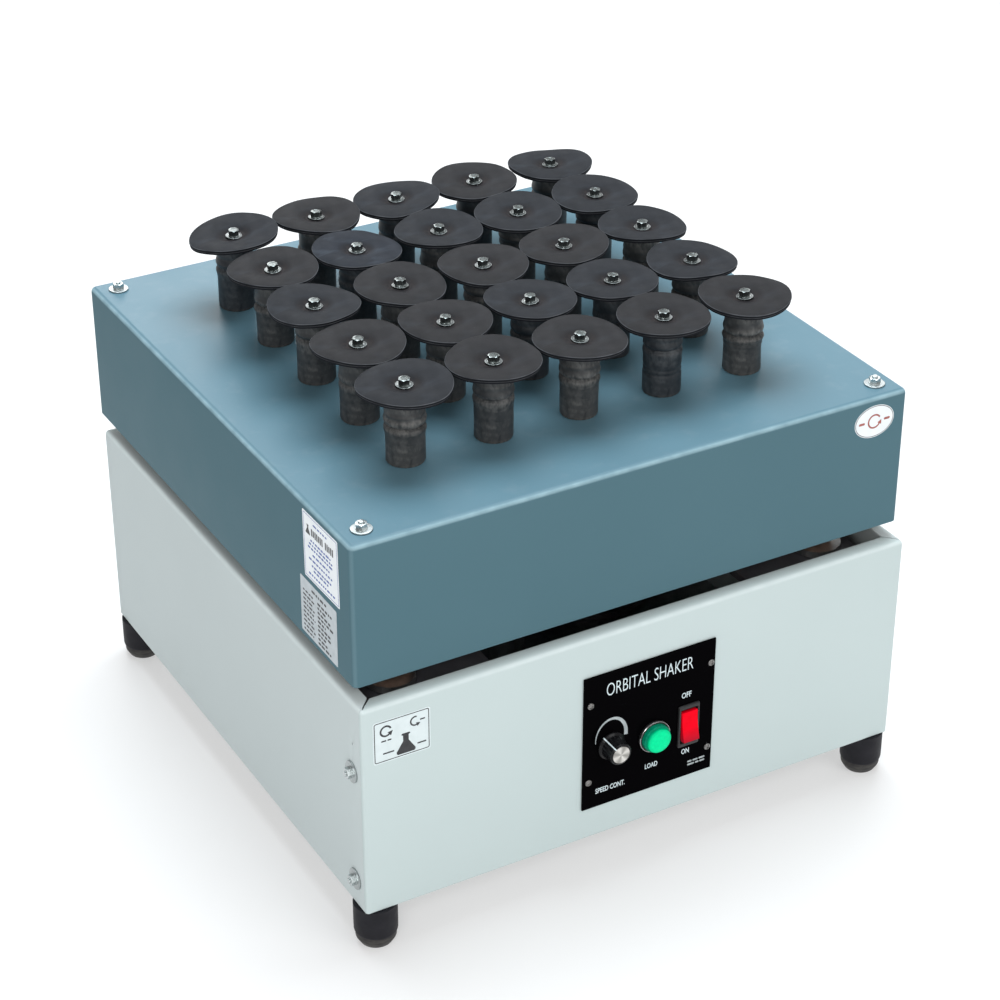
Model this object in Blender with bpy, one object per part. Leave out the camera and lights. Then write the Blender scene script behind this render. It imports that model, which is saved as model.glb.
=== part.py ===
"""Platform orbital shaker for flasks, as an assembly of separate named pieces.

A belt turns an upright crank in the base. The crank's eccentric pin and four corner cranks carry
the platform, which therefore circles without turning. Rubber posts on the platform grip flasks.
Lengths are in metres, +Z is up, the control panel faces -Y, and z = 0 is the surface below the feet.
"""

import math

import bmesh
import bpy
from mathutils import Matrix, Vector

# Driving sizes.
FIT_GAP = 0.0003
SHEET = 0.0015
PLATFORM_SIDE = 0.520
SKIRT_HEIGHT = 0.128
BASE_SIDE = 0.522
BASE_HEIGHT = 0.201
PLATFORM_GAP = 0.014
FOOT_HEIGHT = 0.040
ORBIT = 0.010
POST_PITCH = 0.080
POSTS_PER_SIDE = 5
POST_HEIGHT = 0.069

# The control panel, from the middle of the front and from the underside of the base.
PLATE_WIDTH = 0.128
PLATE_HEIGHT = 0.132
PLATE_X = 0.005
PLATE_MIDDLE = 0.0975
KNOB_X = -0.032
KNOB_UP = 0.090
LAMP_X = 0.010
LAMP_UP = 0.085
ROCKER_X = 0.044
ROCKER_UP = 0.085
KNOB_HEIGHT = 0.016

# Heights that follow.
BASE_BOTTOM = FOOT_HEIGHT + FIT_GAP
BASE_TOP = BASE_BOTTOM + BASE_HEIGHT
FLOOR_TOP = BASE_BOTTOM + 2 * (SHEET + FIT_GAP)
PLATFORM_BOTTOM = BASE_TOP + PLATFORM_GAP
PLATFORM_TOP = PLATFORM_BOTTOM + SKIRT_HEIGHT

# The mechanism inside.
BAR_DEPTH = 0.012
BAR_WIDTH = 0.030
SUPPORT_TOP = 0.216
SUPPORT_BOTTOM = SUPPORT_TOP - BAR_DEPTH
PAD_TOP = SUPPORT_TOP + 0.006
PLATFORM_FRAME_TOP = PLATFORM_TOP - SHEET - FIT_GAP
PLATFORM_FRAME_BOTTOM = PLATFORM_FRAME_TOP - BAR_DEPTH
IDLER = 0.208
IDLER_SHAFT_RADIUS = 0.009
IDLER_PIN_RADIUS = 0.008
CRANK_SHAFT_RADIUS = 0.012
CRANK_PIN_RADIUS = 0.010
WEB_BOTTOM = SUPPORT_TOP + 0.003
WEB_TOP = WEB_BOTTOM + 0.018
CRANK_PIN_TOP = 0.295
RUNNING_GAP = 0.001
PULLEY_BOTTOM = 0.160
PULLEY_HEIGHT = 0.022
DRIVEN_PITCH_RADIUS = 0.084
MOTOR_PITCH_RADIUS = 0.021
BELT_THICKNESS = 0.007
MOTOR_DISTANCE = 0.165
MOTOR_ANGLE = math.radians(25)

# The origin is under the middle of the whole: the knob reaches furthest forward, the skirt furthest back.
PLATE_FRONT = BASE_SIDE / 2 + FIT_GAP + SHEET
FRONT_REACH = PLATE_FRONT + FIT_GAP + KNOB_HEIGHT
REAR_REACH = PLATFORM_SIDE / 2 + ORBIT
BASE_Y = (FRONT_REACH - REAR_REACH) / 2
PLATFORM_Y = BASE_Y + ORBIT

CORNERS = {
    "front_left": (-1, -1),
    "front_right": (1, -1),
    "rear_left": (-1, 1),
    "rear_right": (1, 1),
}

# A turned shape stands along +Z. These turn its axis to face out of the front and out of the rear.
FACING_FRONT = Matrix.Rotation(math.radians(90), 4, "X")
FACING_REAR = Matrix.Rotation(math.radians(-90), 4, "X")


def clear_scene():
    for obj in list(bpy.data.objects):
        bpy.data.objects.remove(obj, do_unlink=True)


def material(name, colour, roughness, metallic=0.0):
    """The material of this name, made when it is first asked for."""
    found = bpy.data.materials.get(name)
    if found:
        return found
    made = bpy.data.materials.new(name)
    made.use_nodes = True
    shader = made.node_tree.nodes["Principled BSDF"]
    shader.inputs["Base Color"].default_value = (*colour, 1.0)
    shader.inputs["Roughness"].default_value = roughness
    shader.inputs["Metallic"].default_value = metallic
    return made


def blue_paint():
    return material("blue_paint", (0.13, 0.21, 0.25), 0.45)


def aqua_paint():
    return material("aqua_paint", (0.58, 0.68, 0.68), 0.45)


def black_rubber():
    return material("black_rubber", (0.030, 0.030, 0.033), 0.65)


def zinc_steel():
    return material("zinc_steel", (0.62, 0.62, 0.60), 0.35, 0.9)


def dark_steel():
    return material("dark_steel", (0.10, 0.10, 0.11), 0.5, 0.6)


def brown_primer():
    return material("brown_primer", (0.20, 0.12, 0.08), 0.6)


def cast_alloy():
    return material("cast_alloy", (0.42, 0.43, 0.44), 0.5, 0.8)


def black_plastic():
    return material("black_plastic", (0.015, 0.015, 0.016), 0.25)


def red_plastic():
    return material("red_plastic", (0.75, 0.02, 0.03), 0.25)


def green_plastic():
    return material("green_plastic", (0.02, 0.45, 0.20), 0.15)


def place(obj, finish, location=(0, 0, 0), parent=None):
    """Puts the object at a world location, under an optional empty that has no rotation."""
    obj.data.materials.append(finish)
    if parent:
        obj.parent = parent
        location = Vector(location) - parent.location
    obj.location = location
    return obj


def object_from(bm, name, smooth_angle=None):
    bmesh.ops.recalc_face_normals(bm, faces=bm.faces)
    mesh = bpy.data.meshes.new(name)
    bm.to_mesh(mesh)
    bm.free()
    if smooth_angle:
        mesh.shade_smooth()
        mesh.set_sharp_from_angle(angle=smooth_angle)
    obj = bpy.data.objects.new(name, mesh)
    bpy.context.scene.collection.objects.link(obj)
    return obj


def turned(name, profile, steps=24, ring=False, turn=None):
    """A solid of revolution about Z from (radius, height) points. A ring's profile is a closed loop."""
    bm = bmesh.new()
    points = [bm.verts.new((radius, 0, height)) for radius, height in profile]
    pairs = list(zip(points, points[1:]))
    if ring:
        pairs.append((points[-1], points[0]))
    edges = [bm.edges.new(pair) for pair in pairs]
    bmesh.ops.spin(
        bm,
        geom=points + edges,
        cent=(0, 0, 0),
        axis=(0, 0, 1),
        angle=math.tau,
        steps=steps,
        use_merge=True,
    )
    bmesh.ops.remove_doubles(bm, verts=bm.verts, dist=1e-6)
    if turn:
        bmesh.ops.transform(bm, matrix=turn, verts=bm.verts)
    return object_from(bm, name, math.radians(35))


def extruded(name, outline, bottom, top, turn=None):
    """A prism over a flat outline of (x, y) points."""
    bm = bmesh.new()
    face = bm.faces.new([bm.verts.new((x, y, bottom)) for x, y in outline])
    raised = bmesh.ops.extrude_face_region(bm, geom=[face])["geom"]
    moved = [item for item in raised if isinstance(item, bmesh.types.BMVert)]
    bmesh.ops.translate(bm, vec=(0, 0, top - bottom), verts=moved)
    if turn:
        bmesh.ops.transform(bm, matrix=turn, verts=bm.verts)
    return object_from(bm, name)


def block(name, low, high):
    """A box between two corners."""
    (x0, y0, z0), (x1, y1, z1) = low, high
    return extruded(name, [(x0, y0), (x1, y0), (x1, y1), (x0, y1)], z0, z1)


def arc(centre, radius, start, end, steps):
    """Points on an arc, with the angles in degrees."""
    angles = [math.radians(start + (end - start) * step / steps) for step in range(steps + 1)]
    return [(centre[0] + radius * math.cos(a), centre[1] + radius * math.sin(a)) for a in angles]


def combine(target, tools, operation):
    """Adds a Boolean for each tool. The tools stay in the scene as hidden helpers."""
    for tool in tools:
        tool.hide_render = True
        tool.display_type = "WIRE"
        boolean = target.modifiers.new(tool.name, "BOOLEAN")
        boolean.operation = operation
        boolean.solver = "EXACT"
        boolean.object = tool
    return target


def axis_empty(name, x, y, z, parent=None):
    empty = bpy.data.objects.new(name, None)
    bpy.context.scene.collection.objects.link(empty)
    if parent:
        empty.parent = parent
        x, y, z = Vector((x, y, z)) - parent.location
    empty.location = (x, y, z)
    return empty


# --- the platform -------------------------------------------------------------------------------


def platform_cover(platform):
    """An upturned tray of folded sheet, open below, with softly rounded edges."""
    half = PLATFORM_SIDE / 2
    cover = block("platform_cover", (-half, -half, 0), (half, half, SKIRT_HEIGHT))
    bm = bmesh.new()
    bm.from_mesh(cover.data)
    underside = [face for face in bm.faces if face.normal.z < -0.5]
    bmesh.ops.delete(bm, geom=underside, context="FACES_ONLY")
    folds = [edge for edge in bm.edges if len(edge.link_faces) == 2]
    bmesh.ops.bevel(bm, geom=folds, offset=0.005, segments=3, profile=0.5, affect="EDGES")
    bm.to_mesh(cover.data)
    bm.free()
    wall = cover.modifiers.new("wall", "SOLIDIFY")
    wall.thickness = SHEET
    wall.offset = -1
    place(cover, blue_paint(), (0, PLATFORM_Y, PLATFORM_BOTTOM), platform)


def platform_frame(platform):
    """Two flat bars crossed from corner to corner under the cover."""
    half_length = 0.344
    half_width = BAR_WIDTH / 2
    bars = []
    for name, angle in (("platform_frame", 45), ("platform_cross_bar", 135)):
        bar = block(name, (-half_length, -half_width, 0), (half_length, half_width, BAR_DEPTH))
        bar.rotation_euler.z = math.radians(angle)
        bars.append(bar)
    frame, cross_bar = bars
    place(frame, dark_steel(), (0, PLATFORM_Y, PLATFORM_FRAME_BOTTOM), platform)
    cross_bar.location = (0, PLATFORM_Y, PLATFORM_FRAME_BOTTOM)
    combine(frame, [cross_bar], "UNION")


def platform_hub(platform):
    """The flanged column that holds the bearing of the crank's eccentric pin."""
    bottom = WEB_TOP + 0.008
    bore = CRANK_PIN_RADIUS + RUNNING_GAP
    top = PLATFORM_FRAME_BOTTOM - FIT_GAP
    bore_end = CRANK_PIN_TOP + 0.004
    profile = [
        (0, bore_end),
        (bore, bore_end),
        (bore, bottom),
        (0.028, bottom),
        (0.028, top - 0.010),
        (0.045, top - 0.010),
        (0.045, top),
        (0, top),
    ]
    place(turned("platform_hub", profile), cast_alloy(), (0, PLATFORM_Y, 0), platform)


def corner_columns(platform):
    """Four columns that hang from the frame, each with a bearing for a corner crank's pin."""
    bottom = PAD_TOP + 0.011
    top = PLATFORM_FRAME_BOTTOM - FIT_GAP
    bore = IDLER_PIN_RADIUS + RUNNING_GAP
    bore_end = bottom + 0.040
    outer = 0.022
    profile = [
        (0, bore_end),
        (bore, bore_end),
        (bore, bottom),
        (outer - 0.001, bottom),
        (outer, bottom + 0.001),
        (outer, top),
        (0, top),
    ]
    for corner, (side, end) in CORNERS.items():
        column = turned(f"platform_column_{corner}", profile)
        place(column, brown_primer(), (side * IDLER, PLATFORM_Y + end * IDLER, 0), platform)


def flask_posts(platform):
    """A square grid of rubber posts: two stacked sleeves under a broad disc that is dished in the middle."""
    sleeve = 0.01675
    seam = 0.030
    groove = 0.0012
    disc = 0.0392
    disc_bottom = POST_HEIGHT - 0.003
    dish = 0.002
    profile = [
        (0, 0),
        (sleeve, 0),
        (sleeve, seam - groove),
        (sleeve - groove, seam),
        (sleeve, seam + groove),
        (sleeve, disc_bottom),
        (disc, disc_bottom),
        (disc, POST_HEIGHT),
        (sleeve, POST_HEIGHT),
        (0, POST_HEIGHT - dish),
    ]
    middle = (POSTS_PER_SIDE - 1) / 2
    pattern = turned("flask_post_1_1", profile, steps=16)
    pattern.data.materials.append(black_rubber())
    for row in range(POSTS_PER_SIDE):
        for column in range(POSTS_PER_SIDE):
            post = pattern
            if row or column:
                post = bpy.data.objects.new(f"flask_post_{row + 1}_{column + 1}", pattern.data)
                bpy.context.scene.collection.objects.link(post)
            x = (column - middle) * POST_PITCH
            y = PLATFORM_Y + (row - middle) * POST_PITCH
            post.parent = platform
            post.location = Vector((x, y, PLATFORM_TOP + FIT_GAP)) - platform.location


# --- the base -----------------------------------------------------------------------------------


def panel_section():
    """The folded sheet's outline as (depth behind the face, height): flange, wall, rounded bend and lip."""
    bend = 0.006
    lip = 0.013
    flange = 0.015
    middle = (bend, BASE_HEIGHT - bend)
    outer = [(flange, 0), (0, 0)] + arc(middle, bend, 180, 90, 4) + [(lip, BASE_HEIGHT)]
    inner = [(lip, BASE_HEIGHT - SHEET)] + arc(middle, bend - SHEET, 90, 180, 4)
    return outer + inner + [(SHEET, SHEET), (flange, SHEET)]


def folded_panel(name, turn_degrees, cutters=()):
    """One side of the base. Its ends are mitred, so that four of them close the square."""
    half = BASE_SIDE / 2
    slit = 0.0004
    bm = bmesh.new()
    ends = []
    for side in (-1, 1):
        ends.append(
            [
                bm.verts.new((side * (half - depth - slit), depth - half, height))
                for depth, height in panel_section()
            ]
        )
    left, right = ends
    bm.faces.new(left)
    bm.faces.new(list(reversed(right)))
    for i in range(len(left)):
        j = (i + 1) % len(left)
        bm.faces.new((left[i], right[i], right[j], left[j]))
    turn = Matrix.Rotation(math.radians(turn_degrees), 4, "Z")
    bmesh.ops.transform(bm, matrix=turn, verts=bm.verts)
    panel = object_from(bm, name, math.radians(35))
    place(panel, aqua_paint(), (0, BASE_Y, BASE_BOTTOM))
    combine(panel, cutters, "DIFFERENCE")


def base_plate():
    half = BASE_SIDE / 2 - SHEET - 2 * FIT_GAP
    plate = block("base_plate", (-half, -half, 0), (half, half, SHEET))
    place(plate, zinc_steel(), (0, BASE_Y, BASE_BOTTOM + SHEET + FIT_GAP))


def feet():
    """Stepped, slightly tapered rubber feet under the corners."""
    inset = 0.0155
    profile = [
        (0, 0),
        (0.0125, 0),
        (0.0155, 0.0018),
        (0.0172, 0.0060),
        (0.0175, 0.0115),
        (0.0184, 0.0125),
        (0.0186, 0.0200),
        (0.0186, FOOT_HEIGHT),
        (0, FOOT_HEIGHT),
    ]
    reach = BASE_SIDE / 2 - inset
    for corner, (side, end) in CORNERS.items():
        foot = turned(f"foot_{corner}", profile, steps=20)
        place(foot, black_rubber(), (side * reach, BASE_Y + end * reach, 0))


def support_frame():
    """A welded cross on four legs. Each corner has a pad and a boss for a corner crank."""
    half_width = BAR_WIDTH / 2
    half_length = 0.310
    leg = 0.175
    leg_half = 0.0125
    boss_radius = 0.017
    boss_bottom = 0.165
    bore = IDLER_SHAFT_RADIUS + RUNNING_GAP / 2
    added = []
    bored = []
    for name, angle in (("support_frame", 45), ("support_cross_bar", 135)):
        low = (-half_length, -half_width, SUPPORT_BOTTOM)
        high = (half_length, half_width, SUPPORT_TOP)
        bar = block(name, low, high)
        bar.rotation_euler.z = math.radians(angle)
        bar.location.y = BASE_Y
        added.append(bar)
    frame = added.pop(0)
    frame.data.materials.append(dark_steel())
    for corner, (side, end) in CORNERS.items():
        xs = sorted((side * 0.125, side * 0.240))
        ys = sorted((BASE_Y + end * 0.176, BASE_Y + end * 0.240))
        pad = block(f"support_pad_{corner}", (xs[0], ys[0], SUPPORT_TOP - 0.001), (xs[1], ys[1], PAD_TOP))
        x = side * leg
        y = BASE_Y + end * leg
        low = (x - leg_half, y - leg_half, FLOOR_TOP)
        high = (x + leg_half, y + leg_half, SUPPORT_BOTTOM + BAR_DEPTH / 2)
        strut = block(f"support_leg_{corner}", low, high)
        profile = [(0, boss_bottom), (boss_radius, boss_bottom), (boss_radius, PAD_TOP), (0, PAD_TOP)]
        boss = turned(f"support_boss_{corner}", profile)
        hole_end = PAD_TOP + 0.005
        hole_profile = [(0, 0.155), (bore, 0.155), (bore, hole_end), (0, hole_end)]
        hole = turned(f"support_bore_{corner}", hole_profile)
        for piece in (boss, hole):
            piece.location = (side * IDLER, BASE_Y + end * IDLER, 0)
        added += [pad, strut, boss]
        bored.append(hole)
    combine(frame, added, "UNION")
    shaft_hole = CRANK_SHAFT_RADIUS + 0.003
    centre_profile = [(0, 0.185), (shaft_hole, 0.185), (shaft_hole, 0.225), (0, 0.225)]
    centre_hole = turned("support_shaft_hole", centre_profile)
    centre_hole.location.y = BASE_Y
    combine(frame, bored + [centre_hole], "DIFFERENCE")


# --- the drive ----------------------------------------------------------------------------------


def main_bearing_housing():
    bore = CRANK_SHAFT_RADIUS + RUNNING_GAP
    bottom = FLOOR_TOP
    top = PULLEY_BOTTOM - 0.005
    profile = [
        (bore, bottom),
        (0.065, bottom),
        (0.065, bottom + 0.010),
        (0.032, bottom + 0.013),
        (0.032, top),
        (bore, top),
    ]
    place(turned("main_bearing_housing", profile, ring=True), cast_alloy(), (0, BASE_Y, 0))


def main_crank(crank):
    """Upright shaft, web with a counterweight, and the eccentric pin that drives the platform."""
    shaft_bottom = 0.050
    weight_radius = 0.075
    web_radius = 0.026
    pin_bottom = WEB_TOP - 0.002
    shaft_profile = [
        (0, shaft_bottom),
        (CRANK_SHAFT_RADIUS, shaft_bottom),
        (CRANK_SHAFT_RADIUS, WEB_BOTTOM + 0.002),
        (0, WEB_BOTTOM + 0.002),
    ]
    web_outline = arc((0, 0), weight_radius, 200, 340, 12) + arc((0, 0), web_radius, -10, 190, 12)
    shaft = turned("main_crank", shaft_profile)
    web = extruded("crank_web", web_outline, WEB_BOTTOM, WEB_TOP)
    pin_profile = [
        (0, pin_bottom),
        (CRANK_PIN_RADIUS, pin_bottom),
        (CRANK_PIN_RADIUS, CRANK_PIN_TOP),
        (0, CRANK_PIN_TOP),
    ]
    pin = turned("crank_pin", pin_profile)
    web.location.y = BASE_Y
    pin.location.y = PLATFORM_Y
    place(shaft, zinc_steel(), (0, BASE_Y, 0), crank)
    combine(shaft, [web, pin], "UNION")


def groove_profile(pitch_radius):
    """The rim of a belt pulley, from its bottom edge to its top edge."""
    rim = pitch_radius + 0.005
    floor = pitch_radius - 0.004
    middle = PULLEY_BOTTOM + PULLEY_HEIGHT / 2
    return [
        (rim, PULLEY_BOTTOM),
        (rim, middle - 0.008),
        (floor, middle - 0.004),
        (floor, middle + 0.004),
        (rim, middle + 0.008),
        (rim, PULLEY_BOTTOM + PULLEY_HEIGHT),
    ]


def driven_pulley(crank):
    bore = CRANK_SHAFT_RADIUS + 2 * FIT_GAP
    profile = [(bore, PULLEY_BOTTOM), *groove_profile(DRIVEN_PITCH_RADIUS)]
    profile.append((bore, PULLEY_BOTTOM + PULLEY_HEIGHT))
    place(turned("driven_pulley", profile, steps=40, ring=True), cast_alloy(), (0, BASE_Y, 0), crank)


def motor_place():
    x = MOTOR_DISTANCE * math.cos(MOTOR_ANGLE)
    y = BASE_Y + MOTOR_DISTANCE * math.sin(MOTOR_ANGLE)
    return x, y


def motor():
    """Drive motor on a flange, with a bore in its nose for the shaft of its pulley."""
    bore = 0.0066
    nose = PULLEY_BOTTOM - 0.006
    profile = [
        (0, FLOOR_TOP),
        (0.056, FLOOR_TOP),
        (0.056, FLOOR_TOP + 0.006),
        (0.048, FLOOR_TOP + 0.006),
        (0.048, nose - 0.010),
        (0.020, nose - 0.008),
        (0.020, nose),
        (bore, nose),
        (bore, nose - 0.025),
        (0, nose - 0.025),
    ]
    x, y = motor_place()
    place(turned("motor", profile), dark_steel(), (x, y, 0))


def motor_pulley(axis):
    shaft = 0.006
    shaft_bottom = PULLEY_BOTTOM - 0.026
    top = PULLEY_BOTTOM + PULLEY_HEIGHT
    profile = [(0, shaft_bottom), (shaft, shaft_bottom), (shaft, PULLEY_BOTTOM)]
    profile += [*groove_profile(MOTOR_PITCH_RADIUS), (0, top)]
    x, y = motor_place()
    place(turned("motor_pulley", profile), cast_alloy(), (x, y, 0), axis)


def belt_outline(offset):
    """The belt's path round both pulleys, moved outwards by an offset."""
    spread = math.degrees(math.acos((DRIVEN_PITCH_RADIUS - MOTOR_PITCH_RADIUS) / MOTOR_DISTANCE))
    heading = math.degrees(MOTOR_ANGLE)
    motor_centre = (
        MOTOR_DISTANCE * math.cos(MOTOR_ANGLE),
        MOTOR_DISTANCE * math.sin(MOTOR_ANGLE),
    )
    round_driven = arc(
        (0, 0),
        DRIVEN_PITCH_RADIUS + offset,
        heading + spread,
        heading + 360 - spread,
        26,
    )
    round_motor = arc(motor_centre, MOTOR_PITCH_RADIUS + offset, heading - spread, heading + spread, 8)
    return round_driven + round_motor


def drive_belt():
    half = BELT_THICKNESS / 2
    middle = PULLEY_BOTTOM + PULLEY_HEIGHT / 2
    bm = bmesh.new()
    corners = ((half, -half), (half, half), (-half, half), (-half, -half))
    loops = [[bm.verts.new((x, y, middle + up)) for x, y in belt_outline(out)] for out, up in corners]
    for first, second in zip(loops, loops[1:] + loops[:1]):
        for i in range(len(first)):
            j = (i + 1) % len(first)
            bm.faces.new((first[i], first[j], second[j], second[i]))
    place(object_from(bm, "drive_belt"), black_rubber(), (0, BASE_Y, 0))


def corner_crank(corner, side, end):
    """A free-running crank: a shaft in the support frame and a pin in the platform's column."""
    web_bottom = PAD_TOP + 0.001
    web_top = web_bottom + 0.006
    pin_top = web_top + 0.036
    shaft_bottom = 0.167
    profile = [
        (0, shaft_bottom),
        (IDLER_SHAFT_RADIUS, shaft_bottom),
        (IDLER_SHAFT_RADIUS, web_bottom),
        (0.021, web_bottom),
        (0.021, web_top),
        (0, web_top),
    ]
    pin_profile = [
        (0, web_bottom + 0.002),
        (IDLER_PIN_RADIUS, web_bottom + 0.002),
        (IDLER_PIN_RADIUS, pin_top),
        (0, pin_top),
    ]
    x = side * IDLER
    y = BASE_Y + end * IDLER
    axis = axis_empty(f"corner_axis_{corner}", x, y, PAD_TOP)
    crank = turned(f"corner_crank_{corner}", profile)
    pin = turned(f"corner_pin_{corner}", pin_profile)
    pin.location = (x, y + ORBIT, 0)
    place(crank, zinc_steel(), (x, y, 0), axis)
    combine(crank, [pin], "UNION")


# --- the controls -------------------------------------------------------------------------------


def on_front(x, up, out=0.0):
    """A point on the front of the control plate: x, height above the base's underside, distance out."""
    return x, BASE_Y - PLATE_FRONT - out, BASE_BOTTOM + up


def hole_through_front(name, x, up, radius):
    profile = [(0, -0.010), (radius, -0.010), (radius, 0.005), (0, 0.005)]
    hole = turned(name, profile, turn=FACING_FRONT)
    hole.location = on_front(x, up)
    return hole


def window_through_front(name, x, up, width, height):
    window = block(name, (-width / 2, -0.005, -height / 2), (width / 2, 0.010, height / 2))
    window.location = on_front(x, up)
    return window


def front_cutters():
    return [
        hole_through_front("knob_hole", KNOB_X, KNOB_UP, 0.0048),
        hole_through_front("lamp_hole", LAMP_X, LAMP_UP, 0.0114),
        window_through_front("rocker_window", ROCKER_X, ROCKER_UP, 0.0196, 0.0386),
    ]


def control_plate(cutters):
    low = (-PLATE_WIDTH / 2, 0, -PLATE_HEIGHT / 2)
    plate = block("control_plate", low, (PLATE_WIDTH / 2, SHEET, PLATE_HEIGHT / 2))
    place(plate, black_plastic(), on_front(PLATE_X, PLATE_MIDDLE))
    combine(plate, cutters, "DIFFERENCE")


def speed_control():
    """The potentiometer behind the panel, with its bush and spindle."""
    behind = -2 * (SHEET + FIT_GAP)
    profile = [
        (0, behind - 0.012),
        (0.012, behind - 0.012),
        (0.012, behind),
        (0.0043, behind),
        (0.0043, 0),
        (0.003, 0),
        (0.003, 0.0095),
        (0, 0.0095),
    ]
    pot = turned("speed_control", profile, turn=FACING_FRONT)
    place(pot, cast_alloy(), on_front(KNOB_X, KNOB_UP))


def speed_knob():
    bore = 0.0035
    bore_end = 0.0105
    profile = [
        (0, bore_end),
        (bore, bore_end),
        (bore, 0),
        (0.0130, 0),
        (0.0130, 0.0018),
        (0.0110, 0.0032),
        (0.0098, KNOB_HEIGHT - 0.0015),
        (0.0085, KNOB_HEIGHT),
        (0, KNOB_HEIGHT),
    ]
    front = on_front(KNOB_X, KNOB_UP, FIT_GAP)
    axis = axis_empty("knob_axis", *front)
    place(turned("speed_knob", profile, turn=FACING_FRONT), black_plastic(), front, axis)


def pilot_lamp():
    """A bezel whose barrel passes through the panel, and the lens that stands in it."""
    barrel = 0.0110
    bezel = 0.0150
    seat = 0.0134
    bezel_profile = [
        (0, -0.030),
        (barrel, -0.030),
        (barrel, FIT_GAP),
        (bezel, FIT_GAP),
        (bezel, 0.0035),
        (seat, 0.0035),
        (seat, 0.0012),
        (0, 0.0012),
    ]
    lens_profile = [
        (0, 0.0016),
        (0.0130, 0.0016),
        (0.0130, 0.0068),
        (0.0115, 0.0072),
        (0.0112, 0.0105),
        (0, 0.0108),
    ]
    front = on_front(LAMP_X, LAMP_UP)
    place(turned("lamp_bezel", bezel_profile, turn=FACING_FRONT), zinc_steel(), front)
    place(turned("lamp_lens", lens_profile, turn=FACING_FRONT), green_plastic(), front)


def rocker_frame():
    """The switch's bezel and housing, with a pocket for the rocker."""
    frame = block("rocker_frame", (-0.0105, -0.0024, -0.0210), (0.0105, -FIT_GAP, 0.0210))
    housing = block("rocker_housing", (-0.0094, -0.0020, -0.0189), (0.0094, 0.0220, 0.0189))
    pocket = block("rocker_pocket", (-0.0083, -0.0050, -0.0172), (0.0083, 0.0140, 0.0172))
    front = on_front(ROCKER_X, ROCKER_UP)
    place(frame, black_plastic(), front)
    housing.location = front
    pocket.location = front
    combine(frame, [housing], "UNION")
    combine(frame, [pocket], "DIFFERENCE")


def power_rocker():
    """The rocker as it rests at off: its upper end is pressed in and its lower end stands out."""
    half_length = 0.0142
    half_width = 0.0078
    rest_tilt = math.radians(9)
    outline = [
        (-0.006, -0.006),
        (0.006, -0.006),
        (half_length, 0),
        (half_length, 0.0044),
        (0, 0.0032),
        (-half_length, 0.0044),
        (-half_length, 0),
    ]
    # The outline's x becomes height and its y becomes distance out of the panel.
    stand = Matrix(((0, 0, 1, 0), (0, -1, 0, 0), (1, 0, 0, 0), (0, 0, 0, 1)))
    tilt = Matrix.Rotation(-rest_tilt, 4, "X")
    rocker = extruded("power_rocker", outline, -half_width, half_width, turn=tilt @ stand)
    pivot = on_front(ROCKER_X, ROCKER_UP, 0.0010)
    axis = axis_empty("rocker_axis", *pivot)
    place(rocker, red_plastic(), pivot, axis)


def mains_inlet():
    """Appliance inlet in the rear panel, with its socket open to the rear."""
    rear = BASE_Y + BASE_SIDE / 2
    where = (-0.150, rear, BASE_BOTTOM + 0.060)
    flange = block("mains_inlet", (-0.025, FIT_GAP, -0.014), (0.025, 0.003, 0.014))
    body = block("inlet_body", (-0.0145, -0.020, -0.0115), (0.0145, 0.002, 0.0115))
    socket = block("inlet_socket", (-0.0120, -0.015, -0.0085), (0.0120, 0.005, 0.0085))
    place(flange, black_plastic(), where)
    body.location = where
    socket.location = where
    combine(flange, [body], "UNION")
    combine(flange, [socket], "DIFFERENCE")
    window = block("inlet_window", (-0.0150, -0.005, -0.0120), (0.0150, 0.005, 0.0120))
    window.location = where
    return window


def main():
    clear_scene()
    crank = axis_empty("crank_axis", 0, BASE_Y, 0)
    platform = axis_empty("platform_axis", 0, PLATFORM_Y, 0)
    motor_axis = axis_empty("motor_axis", *motor_place(), 0)

    platform_cover(platform)
    platform_frame(platform)
    platform_hub(platform)
    corner_columns(platform)
    flask_posts(platform)

    cutters = front_cutters()
    folded_panel("front_panel", 0, cutters)
    folded_panel("right_panel", 90)
    folded_panel("rear_panel", 180, [mains_inlet()])
    folded_panel("left_panel", 270)
    base_plate()
    feet()
    support_frame()

    main_bearing_housing()
    main_crank(crank)
    driven_pulley(crank)
    motor()
    motor_pulley(motor_axis)
    drive_belt()
    for corner, (side, end) in CORNERS.items():
        corner_crank(corner, side, end)

    control_plate(cutters)
    speed_control()
    speed_knob()
    pilot_lamp()
    rocker_frame()
    power_rocker()


main()
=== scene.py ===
"""How the platform shaker looks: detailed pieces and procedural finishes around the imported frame.

Lengths are in metres, +Z is up and the control panel faces -Y. Every piece rides on a CAD body.
"""

import math
import random

import bmesh
import bpy
from mathutils import Matrix, Vector, noise


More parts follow.
